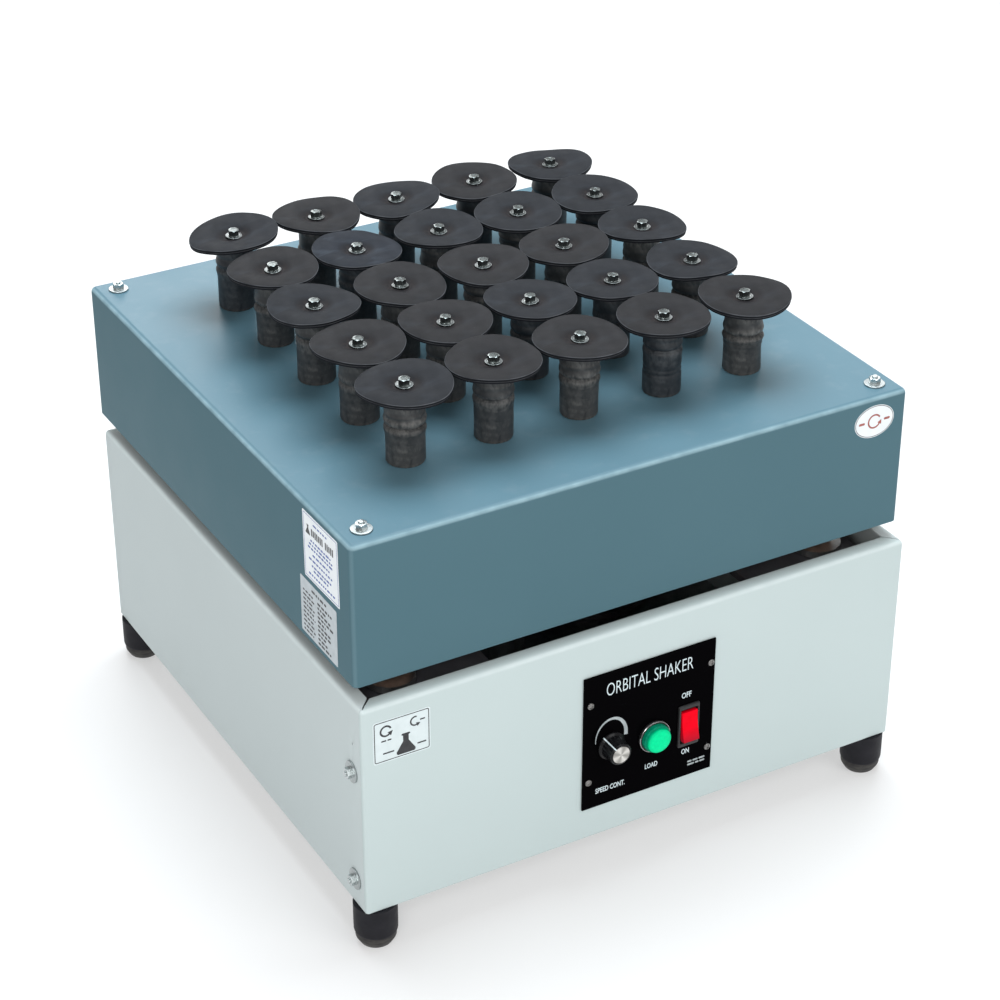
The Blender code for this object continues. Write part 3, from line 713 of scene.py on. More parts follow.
def hex_screw(name, body, origin, facing, kind, angle):
    """A hexagon-head screw of that kind on its washer, turned by that angle, with its foot at the origin."""
    across, height, washer, thickness, stud, finishes = kind
    inner = across * 0.3
    outer = washer / 2
    washer_line = [(inner, 0), (outer, 0, 0.0002), (outer, thickness, 0.0004), (inner, thickness)]
    bm = lathe(fillet(washer_line, 3), 48, ring=True)
    washer_faces = set(bm.faces)
    collar = across * 0.56
    low, high = thickness - 0.0002, thickness + 0.0004
    lathe(fillet([(0, low), (collar, low), (collar, high, 0.0002), (0, high)]), 48, bm=bm)
    seat = thickness + 0.0003
    hex_head(across, height, seat, bm, angle)
    if stud:
        shank = across * 0.27
        low, high = seat + height - 0.0006, seat + height + stud
        lathe(fillet([(0, low), (shank, low), (shank, high, 0.0004), (0, high)], 3), 32, bm=bm)
    for face in bm.faces:
        if face not in washer_faces:
            face.material_index = 1
    return make(name, moved(bm, facing), finishes, body, origin)


def pan_screw(name, origin, facing, kind, angle):
    """A domed screw head of that kind on the base, with a cross recess."""
    radius, height = kind
    sunk, rim = -0.0004, 0.0003
    dome = [(0, sunk), (radius, sunk), (radius, rim)]
    for step in range(1, 9):
        across, up = polar(1.0, math.radians(90 * step / 8))
        dome.append((radius * across, rim + (height - rim) * up))
    obj = make(name, moved(lathe(dome, 40), facing), SCREW_STEEL, "base", origin)
    cutters = []
    for arm in (0, 90):
        bar = prism(rectangle(radius * 1.25, radius * 0.3, radius * 0.08), height * 0.35, height * 2)
        moved(bar, Matrix.Rotation(angle + math.radians(arm), 4, "Z"))
        cutters.append(moved(moved(bar, facing), Matrix.Translation(origin)))
    return carve(obj, cutters)


# --- platform ---


def platform_cover():
    """Folded sheet tray with softly rounded folds, held by a screw near each corner."""
    fold_size = 0.005
    screw_inset = 0.02
    half = (COVER_HIGH.x - COVER_LOW.x) / 2
    height = COVER_HIGH.z - COVER_LOW.z
    bm = prism(rectangle_between(-half, -half, half, half), 0, height)
    bmesh.ops.recalc_face_normals(bm, faces=bm.faces)
    under = [face for face in bm.faces if face.normal.z < -0.5]
    bmesh.ops.delete(bm, geom=under, context="FACES_ONLY")
    folds = [edge for edge in bm.edges if len(edge.link_faces) == 2]
    bmesh.ops.bevel(bm, geom=folds, offset=fold_size, segments=9, profile=0.5, affect="EDGES")
    # The upright faces take the copy of the paint with painted shade.
    for face in bm.faces:
        face.material_index = 0 if face.normal.z > 0.7 else 1
    paints = [BLUE_PAINT, BLUE_SHADED_SIDE_PAINT]
    place = (0, PLATFORM_Y, COVER_LOW.z)
    obj = make("cover_sheet", bm, paints, "platform", place, ["platform_cover"], 60)
    thicken(obj, -1)
    soften(obj, 0.0004, 3, 60)
    reach = half - screw_inset
    for corner, (side, end) in CORNERS.items():
        place = (side * reach, PLATFORM_Y + end * reach, PLATFORM_TOP)
        angle = math.radians(17 + 31 * side + 9 * end)
        hex_screw(f"cover_screw_{corner}", "platform", place, FACING_UP, COVER_SCREW, angle)


def column_sleeves():
    """Primed steel columns under the platform, each with a dark collar at its lower end."""
    bore = 0.0095
    for corner in CORNERS:
        node = f"platform_column_{corner}"
        radius = size_of(node).x / 2
        height = size_of(node).z
        neck = radius - 0.0004
        profile = [
            (bore, 0), (radius - 0.003, 0, 0.0004), (neck, 0.0028, 0.0006), (neck, 0.0085, 0.0003),
            (radius, 0.009, 0.0003), (radius, height, 0.0004), (bore, height),
        ]
        mesh = lathe(fillet(profile, 4), 64, ring=True)
        place = foot_of(node)
        make(f"column_{corner}", mesh, PRIMER, "platform", place, [node])
        inner, outer = radius - 0.001, radius + 0.0004
        profile = [(inner, 0.003), (outer, 0.003, 0.0004), (outer, 0.0055, 0.0004), (inner, 0.0055)]
        mesh = lathe(fillet(profile, 3), 64, ring=True)
        make(f"column_collar_{corner}", mesh, FRAME_PAINT, "platform", place)


def hump(distance, width):
    """1 at no distance, falling smoothly to nothing within a few widths."""
    return math.exp(-((distance / width) ** 2))


def sleeve_outline(rng, height, radius):
    """The sleeve's radius at each height: two stacked tubes, swollen where they meet, with moulded rings."""
    seam = height * rng.uniform(0.48, 0.66)
    groove = rng.uniform(0.0011, 0.0021)
    swell = rng.uniform(0.0004, 0.0012)
    count = rng.choice((1, 3, 5))
    rings = [(height * rng.uniform(0.3, 0.92), rng.uniform(-0.0009, 0.0008)) for _ in range(count)]
    lean = rng.uniform(-0.0005, 0.0005)
    groove_width, swell_width, ring_width = 0.0011, 0.003, 0.0013
    outline = []
    steps = 56
    for step in range(steps + 1):
        z = height * step / steps
        r = radius - 0.0007 + lean * (z / height - 0.5)
        r -= groove * hump(z - seam, groove_width)
        r += swell * hump(abs(z - seam) - 0.004, swell_width)
        for at, size in rings:
            r += size * hump(z - at, ring_width)
        outline.append((r, z))
    return outline


def post_sleeve(rng, name, node, place, height, radius):
    """A post's rubber tube, slightly uneven all over, with its top sunk to clear the disc's dish."""
    end_chamfer = 0.0006
    unevenness = 0.0003
    seed = rng.uniform(0, 100)
    outline = sleeve_outline(rng, height, radius)
    for end in (0, -1):
        outline[end] = (outline[end][0] - end_chamfer, outline[end][1])
    hollow = [(radius * 0.84, height), (radius * 0.8, height - 0.0035)]

    def reach(r, angle, z):
        x, y = polar(2.2, angle)
        return r + unevenness * noise.noise(Vector((x + seed, y, z * 45)))

    finish = SLEEVE_RUBBERS[rng.choice((0, 0, 1, 2))]
    bm = nearly_round(outline, 56, reach, hollow)
    make(name, bm, finish, "platform", place, [node], 50)


def disc_warp(rng, reach, bent):
    """How far a disc's sheet stands up or droops at a point: a lean, a saddle and a slow ripple.

    A bent disc leans by that much towards the right instead of by chance.
    """
    lean_way = rng.uniform(0, math.tau)
    lean = rng.uniform(0.0003, 0.0022)
    saddle_way = rng.uniform(0, math.tau)
    saddle = rng.uniform(0.0005, 0.0019)
    cone = rng.uniform(-0.0014, 0.0004)
    seed = rng.uniform(0, 100)
    if bent:
        lean_way = -0.35
        lean = bent

    def lift(x, y):
        r = math.hypot(x, y) / reach
        a = math.atan2(y, x)
        wave = lean * r * math.cos(a - lean_way) + saddle * r * r * math.cos(2 * (a - saddle_way))
        ripple = 0.0009 * r * noise.noise(Vector((x * 40, y * 40, seed)))
        return wave + ripple + cone * r * r

    return lift


# A post's disc: its thickness, how deep the washer draws it down, and its radius and depth from the rim in.
DISC_THICKNESS = 0.0042
DISC_DISH = 0.0034
DISC_DISH_LINE = (
    (0.033, 0), (0.027, 0.03), (0.0215, 0.1), (0.0185, 0.2), (0.016, 0.35),
    (0.0138, 0.56), (0.0118, 0.78), (0.0104, 0.95), (0.009, 1), (0, 1),
)
SLEEVE_RADIUS = 0.01675
BENT_DISCS = {(5, 1): 0.0044, (5, 3): 0.0032}
WIPED_DISC = (4, 2)


def post_disc(rng, name, place, radius, bent):
    """Two layers of rubber sheet, drawn down into a shallow cone by the washer, with a groove at the rim."""
    layer = DISC_THICKNESS * 0.44
    upper = layer + 0.0005
    reach = radius - 0.0002
    lower = reach - 0.0005
    groove = reach - 0.002
    below = [
        (0, -0.0022), (0.011, -0.0022), (0.0165, -0.0004), (0.022, 0),
        (lower, 0, 0.0004), (lower, layer, 0.0005), (groove, layer),
    ]
    above = [(groove, upper), (reach, upper, 0.0003), (reach, DISC_THICKNESS, 0.0008)]
    above += [(r, DISC_THICKNESS - DISC_DISH * depth) for r, depth in DISC_DISH_LINE]
    bm = lathe(fillet(below, 3) + fillet(above, 3), 80)
    lift = disc_warp(rng, radius, bent)
    for vert in bm.verts:
        vert.co.z += lift(vert.co.x, vert.co.y)
    return make(name, bm, DISC_RUBBERS[rng.choice((0, 0, 1, 1))], "platform", place, smooth=40)


def flask_posts():
    """Five rows of five posts, each a sleeve, a disc and a screw that is never quite upright."""
    for row in range(1, 6):
        for column in range(1, 6):
            rng = random.Random(100 * row + column)
            node = f"flask_post_{row}_{column}"
            size = size_of(node)
            place = foot_of(node)
            disc_bottom = size.z - DISC_THICKNESS
            sleeve_height = disc_bottom + 0.0004
            post_sleeve(rng, f"post_sleeve_{row}_{column}", node, place, sleeve_height, SLEEVE_RADIUS)
            disc_place = place + Vector((0, 0, disc_bottom))
            bent = BENT_DISCS.get((row, column), 0)
            disc = post_disc(rng, f"post_disc_{row}_{column}", disc_place, size.x / 2, bent)
            if (row, column) == WIPED_DISC:
                disc.data.materials[0] = WIPED_DISC_RUBBER
            seat = disc_place + Vector((0, 0, DISC_THICKNESS - DISC_DISH))
            angle = rng.uniform(0, math.tau)
            tilt_x, tilt_y = [Matrix.Rotation(rng.uniform(-0.05, 0.05), 4, axis) for axis in "XY"]
            hex_screw(f"post_screw_{row}_{column}", "platform", seat, tilt_x @ tilt_y, POST_SCREW, angle)


# --- base ---

PANEL_BEND = 0.0062
PANEL_LIP = 0.013
PANEL_FLANGE = 0.015
PANEL_CORNER = 0.003


def base_panel(side_name, turn_degrees, wraps, cutters=()):
    """One folded side: a flange below, a flat wall, a rounded bend and a lip. Two of them wrap the corners.

    Each row of the sheet is (depth behind the wall, height). The lips' ends draw back to leave a slit.
    """
    height = BASE_TOP - BASE_BOTTOM
    wall = [(0, 0, 0.0018), (0, height * 0.5), (0, height, PANEL_BEND)]
    rows = fillet([(PANEL_FLANGE, 0), *wall, (PANEL_LIP, height)], 9)
    columns = 24
    corner_steps = 6
    slit, mitre = 0.001, 0.09
    bm = bmesh.new()
    grid = []
    for depth, up in rows:
        opening = slit * min(1.0, depth / 0.003) + mitre * max(0, depth - PANEL_BEND) * (up > 0.1)
        end = BASE_HALF - max(depth + opening, PANEL_CORNER if wraps else PANEL_CORNER + 0.0003)
        xs = [end * (2 * i / columns - 1) for i in range(columns + 1)]
        grid.append([bm.verts.new((x, depth - BASE_HALF, up)) for x in xs])
    sheet(bm, grid)
    for side, edge in ((-1, 0), (1, columns)) if wraps else ():
        strips = []
        for (depth, up), row in zip(rows, grid):
            if depth >= PANEL_CORNER - 0.0002:
                continue
            bow = PANEL_CORNER - depth
            strip = [row[edge]]
            for step in range(1, corner_steps + 1):
                x, y = polar(bow, math.radians(90 * step / corner_steps))
                place = (side * (BASE_HALF - PANEL_CORNER + y), PANEL_CORNER - x - BASE_HALF, up)
                strip.append(bm.verts.new(place))
            strips.append(strip)
        sheet(bm, strips)
    turn = Matrix.Rotation(math.radians(turn_degrees), 4, "Z")
    # The left and right panels take the copy of the paint with painted shade.
    paint = AQUA_PAINT if wraps else AQUA_SHADED_SIDE_PAINT
    place = (0, BASE_Y, BASE_BOTTOM)
    node = f"{side_name}_panel"
    obj = make(f"{side_name}_sheet", moved(bm, turn), paint, "base", place, [node], 50)
    largest = max(obj.data.polygons, key=lambda face: face.area)
    faces_out = largest.normal.dot(turn.to_3x3() @ Vector(TO_FRONT)) > 0
    thicken(obj, -1 if faces_out else 1)
    if cutters:
        carve(obj, cutters)
    soften(obj, 0.00035, 2, 60)


def window_cutter(node, side_margin, end_margin, wall_y):
    """A block through the wall at that Y, smaller than the node's box by those margins."""
    low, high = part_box(node)
    outline = rectangle_between(low.x + side_margin, wall_y - 0.01, high.x - side_margin, wall_y + 0.01)
    return prism(outline, low.z + end_margin, high.z - end_margin)


def hole_cutter(centre, facing, radius):
    depth = 0.01
    bm = lathe([(0, -depth), (radius, -depth), (radius, depth), (0, depth)], 40)
    return moved(moved(bm, facing), Matrix.Translation(centre))


def base_shell():
    """The four sides, cut for the controls and the inlet, and the screws along their corners."""
    shaft_hole, lamp_hole, small_hole = 0.0048, 0.0114, 0.0011
    front_cuts = [
        hole_cutter(middle_of("speed_knob", y=PLATE_HIGH.y), FACING_FRONT, shaft_hole),
        hole_cutter(middle_of("lamp_lens", y=PLATE_HIGH.y), FACING_FRONT, lamp_hole),
        window_cutter("rocker_frame", 0.0009, 0.0017, PLATE_HIGH.y),
    ]
    small_place = (-BASE_HALF, BASE_Y - 0.245, BASE_BOTTOM + 0.161)
    base_panel("front", 0, True, front_cuts)
    base_panel("right", 90, False)
    base_panel("rear", 180, True, [window_cutter("mains_inlet", 0.01, 0.002, BASE_REAR)])
    base_panel("left", 270, False, [hole_cutter(small_place, FACING_LEFT, small_hole)])
    inset = 0.018
    screw_lines = {
        "left": (-BASE_HALF, BASE_FRONT + inset, FACING_LEFT),
        "right": (BASE_HALF, BASE_FRONT + inset, FACING_RIGHT),
        "rear_left": (-BASE_HALF + inset, BASE_REAR, FACING_REAR),
        "rear_right": (BASE_HALF - inset, BASE_REAR, FACING_REAR),
    }
    for number, (line_name, (x, y, facing)) in enumerate(screw_lines.items()):
        for level_name, up in (("high", 0.133), ("low", 0.026)):
            name = f"panel_screw_{line_name}_{level_name}"
            angle = math.radians(40 * number + 500 * up)
            hex_screw(name, "base", (x, y, BASE_BOTTOM + up), facing, PANEL_SCREW, angle)


def feet():
    """Rubber feet with a rounded lower edge, a ridge and a wider top."""
    for corner in CORNERS:
        node = f"foot_{corner}"
        height = size_of(node).z
        radius = size_of(node).x / 2 - 0.0001
        profile = [
            (0, 0.0008), (0.0095, 0.0008, 0.0003), (0.0105, 0, 0.0003), (0.0135, 0, 0.004),
            (0.0171, 0.0062, 0.004), (0.0174, 0.0112, 0.0003), (0.017, 0.0117, 0.0002),
            (0.0181, 0.0122, 0.0003), (0.0184, 0.0134, 0.0006), (radius, 0.02, 0.006),
            (radius, height, 0.0004), (0, height),
        ]
        mesh = lathe(fillet(profile), 80)
        place = foot_of(node)
        make(f"rubber_foot_{corner}", mesh, FOOT_RUBBER, "base", place, [node], 50)


# --- controls ---


def on_plate(x, up, out=0):
    """A point that far out of the control plate, from the base's middle and from its underside."""
    return Vector((x, PLATE_LOW.y - out, BASE_BOTTOM + up))


def lettering(text, width, height, bolder):
    """Letters as a flat mesh on XY, centred, as wide and as high as asked."""
    curve = bpy.data.curves.new("letters", "FONT")
    curve.offset = bolder
    curve.body = text
    curve.resolution_u = 4
    helper = add_object("letters", curve)
    mesh = evaluated_mesh(helper)
    bm = bmesh.new()
    bm.from_mesh(mesh)
    bpy.data.objects.remove(helper)
    bpy.data.curves.remove(curve)
    bpy.data.meshes.remove(mesh)
    bmesh.ops.remove_doubles(bm, verts=bm.verts, dist=1e-6)
    xs = [vert.co.x for vert in bm.verts]
    ys = [vert.co.y for vert in bm.verts]
    left, right, low, high = min(xs), max(xs), min(ys), max(ys)
    for vert in bm.verts:
        vert.co.x = ((vert.co.x - left) / (right - left) - 0.5) * width
        vert.co.y = ((vert.co.y - low) / (high - low) - 0.5) * height
        vert.co.z = 0
    raised = bmesh.ops.extrude_face_region(bm, geom=list(bm.faces))["geom"]
    verts = [item for item in raised if isinstance(item, bmesh.types.BMVert)]
    bmesh.ops.translate(bm, vec=(0, 0, INK), verts=verts)
    return bm


def rule(width, height, centre):
    return rectangle(width, height, height * 0.45, centre, 3)


def speed_scale():
    """The wedge-shaped scale round the knob, thin at its low end and broad at its high end."""
    across, tall = 0.0158, 0.0192
    start, sweep = 188, -196
    steps = 60
    rings = []
    for step in range(steps + 1):
        t = step / steps
        angle = math.radians(start + sweep * t)
        broad = 0.0005 + 0.0031 * t**0.8
        outer = (across * math.cos(angle), tall * math.sin(angle))
        inner = ((across - broad) * math.cos(angle), (tall - broad) * math.sin(angle))
        rings.append(section(outer, inner, 0, INK))
    return skin(bmesh.new(), rings)


# The plate's words: their width and height, how much bolder than the font they are, and their place.
PLATE_WORDS = {
    "title": ("ORBITAL SHAKER", 0.0845, 0.0124, -0.01, 0.0048, 0.1468),
    "off": ("OFF", 0.0096, 0.0056, 0.014, 0.0417, 0.1156),
    "on": ("ON", 0.0076, 0.0052, 0.014, 0.0425, 0.0576),
    "load": ("LOAD", 0.0124, 0.005, 0.014, 0.0085, 0.0552),
    "speed": ("SPEED CONT.", 0.0288, 0.0052, 0.014, -0.0319, 0.0472),
}
PLATE_SCREW_PLACES = ((-0.0527, 0.1359), (0.065, 0.1404), (0.0647, 0.0545), (-0.0535, 0.0588))


def control_panel():
    """The gloss plate, its print and its four screws."""
    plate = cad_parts["control_plate"]
    plate.data.materials.clear()
    plate.data.materials.append(GLOSS_PLATE)

    def lay(name, bm, x, up, finish=PRINT_WHITE):
        lay_flat("base", on_plate(x, up, GAP), TO_RIGHT)(name, bm, finish)

    for name, (text, width, height, bolder, x, up) in PLATE_WORDS.items():
        lay(f"{name}_print", lettering(text, width, height, bolder), x, up)
    lay("speed_scale_print", speed_scale(), -0.0317, 0.0985, PRINT_GREY)
    small = bmesh.new()
    for row, words in enumerate(((0.0044, 0.0052, 0.006), (0.007, 0.0036, 0.005))):
        x = -0.0092
        for width in words:
            prism(rule(width, 0.0017, (x + width / 2, -0.0032 * row)), 0, INK, small)
            x += width + 0.0009
    lay("small_marks_print", small, 0.0545, 0.0452, PRINT_GREY)
    for number, (x, up) in enumerate(PLATE_SCREW_PLACES):
        place = on_plate(x, up)
        pan_screw(f"plate_screw_{number + 1}", place, FACING_FRONT, PLATE_SCREW, 0.5 + 1.1 * number)


def knob():
    """A fluted grip with a skirt, a spun cap and a white pointer line."""
    height = size_of("speed_knob").y
    place = back_of("speed_knob")
    flutes = 20
    flute_depth = 0.0008
    outline = fillet([
        (0.0036, 0), (0.0129, 0, 0.0003), (0.0129, 0.0016, 0.0006), (0.011, 0.0032, 0.001),
        (0.01, height - 0.0006, 0.0012), (0.0084, height, 0.0003), (0.008, height - 0.0006),
    ])

    def reach(radius, angle, up):
        grip = clamp((up - 0.0034) / 0.0012) * clamp((height - 0.0012 - up) / 0.001)
        return radius - flute_depth * grip * max(0, math.cos(flutes * angle)) ** 0.7

    grip_mesh = moved(nearly_round(outline, 240, reach), FACING_FRONT)
    make("knob_grip", grip_mesh, KNOB_PLASTIC, "knob", place, ["speed_knob"], 40)

    face = height + 0.0003
    back = height - 0.001
    cap_face = [(0.008, face, 0.0003), (0.0073, face), (0, face - 0.0001)]
    cap_line = fillet([(0, back), (0.008, back), *cap_face], 4)
    cap = make("knob_cap", lathe(cap_line, 96), SPUN, "knob", place, smooth=50)
    cap.rotation_euler = FACING_FRONT.to_euler()

    half = 0.00055
    pointer_at = 128
    line = fillet([
        (0.0131, 0.0004), (0.0131, 0.0018, 0.0006), (0.0112, 0.0034, 0.001),
        (0.0102, height - 0.0005, 0.0012), (0.0081, height + 0.0002),
    ])
    strips = []
    for r, z in line:
        inner, below = r - 0.0012, z - 0.0003
        strips.append([(r, -half, z), (r, half, z), (inner, half, below), (inner, -half, below)])
    turn = FACING_FRONT @ Matrix.Rotation(math.radians(pointer_at), 4, "Z")
    make("knob_pointer", moved(skin(bmesh.new(), strips), turn), PRINT_WHITE, "knob", place)


def lamp():
    """A black bezel with a bright trim ring round a stepped green lens."""
    place = middle_of("lamp_lens", y=PLATE_LOW.y)
    radius = size_of("lamp_bezel").x / 2
    bezel = fillet([
        (0.0109, -0.006), (0.0109, 0.0002), (radius, 0.0002, 0.0003), (radius, 0.0018, 0.001),
        (radius - 0.0009, 0.0031, 0.0005), (0.0134, 0.0031, 0.0003), (0.0134, 0.001), (0.0102, 0.001),
        (0.0102, -0.006),
    ], 4)
    trim = fillet([
        (radius - 0.0004, 0.0022), (radius + 0.0001, 0.0022, 0.0002), (radius - 0.0004, 0.0029, 0.0002),
        (radius - 0.0008, 0.0028),
    ], 3)
    lens = fillet([
        (0, 0.0012), (0.013, 0.0012), (0.013, 0.0064, 0.001), (0.0116, 0.0072, 0.0003),
        (0.0112, 0.01, 0.0009), (0.006, 0.0106), (0, 0.0107),
    ])
    bezel_mesh, trim_mesh = [moved(lathe(line, 96, ring=True), FACING_FRONT) for line in (bezel, trim)]
    make("lamp_ring", bezel_mesh, SWITCH_PLASTIC, "base", place, ["lamp_bezel"])
    make("lamp_trim", trim_mesh, CHROME, "base", place)
    obj = make("lamp_glass", lathe(lens, 96), LENS, "base", place, ["lamp_lens"], 50)
    obj.rotation_euler = FACING_FRONT.to_euler()


def switch():
    """A frame with a pocket, the pocket's floor, and the rocker tipped to one side."""
    size = size_of("rocker_frame")
    width, height = size.x, size.z
    place = middle_of("rocker_frame", y=PLATE_LOW.y)
    rise = PLATE_LOW.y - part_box("rocker_frame")[0].y
    pocket = (0.0166, 0.0344)
    floor = -0.014

    def outline(radius, less_wide=0, less_high=None):
        less_high = less_wide if less_high is None else less_high
        return rectangle(width - less_wide, height - less_high, radius)

    bm = loops([
        (outline(0.001, 0.002), 0.0002),
        (outline(0.0016), 0.0004),
        (outline(0.0016), rise - 0.0012),
        (outline(0.0013, 0.001), rise - 0.0003),
        (outline(0.0011, 0.0022), rise),
        (rectangle(pocket[0] + 0.0008, pocket[1] + 0.0008, 0.001), rise),
        (rectangle(*pocket, 0.0008), rise - 0.0005),
        (rectangle(*pocket, 0.0008), floor),
        (outline(0.001, 0.0022, 0.004), floor),
    ], closed=True)
    moved(bm, FACING_FRONT)
    make("switch_frame", bm, SWITCH_PLASTIC, "base", place, ["rocker_frame"], 30)
    back = prism(rectangle(pocket[0] + 0.001, pocket[1] + 0.001, 0.0008), floor - 0.001, floor + 0.0002)
    make("switch_back", moved(back, FACING_FRONT), SWITCH_PLASTIC, "base", place)

    half_length = 0.0142
    half_width = 0.0078
    chamfer = 0.0004
    tip = -9
    root = [(-0.006, -0.006), (0.006, -0.006, 0.001)]
    face = [(0.006, 0.0035), (0, 0.0032), (-0.006, 0.0035)]
    upper_end = [(half_length, 0, 0.0006), (half_length, 0.0044, 0.0007)]
    lower_end = [(-half_length, 0.0044, 0.0007), (-half_length, 0, 0.0006)]
    profile = fillet(root + upper_end + face + lower_end + root[:1], 4)[:-1]
    rows = []
    for across in (-half_width, -half_width + chamfer, half_width - chamfer, half_width):
        inset = chamfer if abs(across) == half_width else 0
        rows.append([(across, y * (1 - inset / half_length), z - inset) for y, z in profile])
    bm = moved(skin(bmesh.new(), rows), FACING_FRONT)
    moved(bm, Matrix.Rotation(math.radians(tip), 4, "X"))
    place = place + Vector((0, -0.001, 0))
    make("switch_rocker", bm, ROCKER_PLASTIC, "rocker", place, ["power_rocker"], 30)


# --- labels ---


def lay_flat(body, origin, across, tilt=0):
    """A place for labels. The function that it gives makes a piece there from a mesh on the XY plane."""

    def lay(name, bm, finish):
        moved(bm, Matrix.Rotation(tilt, 4, "Z"))
        make(name, on_plane(bm, origin, across, UP), finish, body, smooth=30)

    return lay


def film(outline):
    return prism(outline, GAP, FILM)


def border(width, height, radius, line, inner_radius):
    """A printed line of that thickness, whose outside is a rectangle of that size."""
    inner = rectangle(width - 2 * line, height - 2 * line, inner_radius)
    return band(rectangle(width, height, radius), inner, *ON_FILM)


def flask_shape(size, centre, bm):
    """A conical flask, as a plain silhouette."""
    half = [
        (0.16, 1.0), (0.2, 0.98), (0.2, 0.92), (0.13, 0.9),
        (0.13, 0.62), (0.44, 0.14), (0.44, 0.06), (0.38, 0),
    ]
    right = [(x, y - 0.5) for x, y in half]
    left = [(-x, y) for x, y in reversed(right)]
    return prism([(centre[0] + x * size, centre[1] + y * size) for x, y in right + left], *ON_FILM, bm)


def arrow_arc(bm, radius, broad, start, end, centre):
    """A curved arrow, turning anticlockwise between two angles in degrees, with a head at its end."""
    steps = 28
    rings = []
    for step in range(steps + 1):
        angle = math.radians(start + (end - start) * step / steps)
        ends = [polar(radius + side * broad / 2, angle, centre) for side in (-1, 1)]
        rings.append(section(*ends, *ON_FILM))
    skin(bm, rings)
    angle = math.radians(end)
    tip = polar(broad * 2.6, angle + math.radians(90), polar(radius, angle, centre))
    wings = [polar(radius + side * broad * 1.5, angle, centre) for side in (1, -1)]
    prism([tip, *wings], *ON_FILM, bm)


def dashes(rng, left, right, y, height):
    """A row of short bars of uneven length, as (x, y, width, height)."""
    rows = []
    shortest, longest = 0.0022, 0.0062
    x = left
    while x < right - 0.0015:
        width = min(rng.uniform(shortest, longest), right - x)
        rows.append((x + width / 2, y, width, height))
        x += width + rng.uniform(0.001, 0.0015)
    return rows


def bars(bm, rows):
    """Short bars where a label would have words."""
    for x, y, width, height in rows:
        prism(rule(width, height, (x, y)), *ON_FILM, bm)


def white_label(rng):
    """On the left of the platform: a flask and a heading of upright bars, above rows of short bars."""
    width, height = 0.061, 0.06
    origin = Vector((COVER_LOW.x, PLATFORM_Y - 0.2085, PLATFORM_TOP - 0.0365))
    lay = lay_flat("platform", origin, TO_FRONT, 0.01)
    lay("maker_label_film", film(rectangle(width, height, 0.0012)), LABEL_WHITE)
    bm = border(width - 0.003, height - 0.003, 0.0008, 0.0004, 0.0005)
    up = 0.0075
    while up > -0.025:
        edge = rng.uniform(0.014, 0.025)
        bars(bm, dashes(rng, -edge, edge, up, 0.0017))
        up -= rng.choice((0.0036, 0.0036, 0.0052))
    bars(bm, dashes(rng, -0.012, 0.012, 0.0235, 0.0014))
    lay("maker_label_print", bm, PRINT_BLUE)

    heading_up = 0.0155
    bm = flask_shape(0.0085, (-0.0215, heading_up), bmesh.new())
    for i in range(13):
        if i != 7:
            bar_height = 0.0066 - 0.0008 * (i % 3 == 1)
            bar = rectangle(0.0019, bar_height, 0.0003, (0.003 * i - 0.0145, heading_up))
            prism(bar, *ON_FILM, bm)
    lay("maker_label_heading", bm, PRINT_DARK)


def silver_label(rng):
    """Below the white label: two columns of short bars."""
    origin = Vector((COVER_LOW.x, PLATFORM_Y - 0.2005, PLATFORM_TOP - 0.0975))
    lay = lay_flat("platform", origin, TO_FRONT, -0.015)
    lay("rating_label_film", film(rectangle(0.064, 0.052, 0.0012)), LABEL_SILVER)
    bm = bmesh.new()
    bars(bm, dashes(rng, -0.012, 0.014, 0.0205, 0.0022))
    up = 0.0145
    while up > -0.023:
        bars(bm, dashes(rng, -0.0275, rng.uniform(-0.012, -0.006), up, 0.0017))
        bars(bm, dashes(rng, -0.002, rng.uniform(0.01, 0.027), up, 0.0021))
        up -= 0.0041
    lay("rating_label_print", bm, PRINT_DARK)


def oval_badge():
    """An unlettered oval badge at the right of the platform's front."""
    width, height = 0.04, 0.03
    origin = Vector((0.227, COVER_LOW.y, PLATFORM_TOP - 0.0225))
    lay = lay_flat("platform", origin, TO_RIGHT)
    lay("badge_film", film(ellipse(width, height)), LABEL_WHITE)
    outer, inner = [ellipse(width - less, height - less) for less in (0.0012, 0.0022)]
    lay("badge_rim_print", band(outer, inner, *ON_FILM), PRINT_DARK)
    bm = bmesh.new()
    arrow_arc(bm, 0.006, 0.0015, 30, 330, (0, 0))
    bars(bm, [(side * 0.0128, 0, 0.006, 0.0022) for side in (-1, 1)])
    lay("badge_orbit_print", bm, PRINT_BRICK)


def front_sticker():
    """At the left of the base's front: a bordered sticker with two orbit arrows, short bars and a flask."""
    width, height = 0.051, 0.04
    origin = Vector((-0.2255, BASE_FRONT, BASE_BOTTOM + 0.166))
    lay = lay_flat("base", origin, TO_RIGHT)
    lay("front_sticker_film", film(rectangle(width, height, 0.002)), LABEL_AQUA)
    bm = border(width - 0.0022, height - 0.0022, 0.0018, 0.0007, 0.0012)
    flask_shape(0.019, (0.0035, -0.0075), bm)
    arrow_arc(bm, 0.0046, 0.0016, 20, 310, (-0.014, 0.0095))
    arrow_arc(bm, 0.004, 0.0013, 70, 290, (0.012, 0.0105))
    bars(bm, [(-0.016, 0.0005, 0.0045, 0.0013), (-0.011, 0.0005, 0.0036, 0.0013)])
    bars(bm, [(0.0185, 0.0105, 0.0046, 0.0013)])
    bars(bm, [(-0.012, -0.0115, 0.01, 0.0013), (0.0175, -0.0115, 0.008, 0.0013)])
    lay("front_sticker_print", bm, PRINT_DARK)


def labels():
    rng = random.Random(7)
    white_label(rng)
    silver_label(rng)
    oval_badge()
    front_sticker()


# --- rear and inside ---


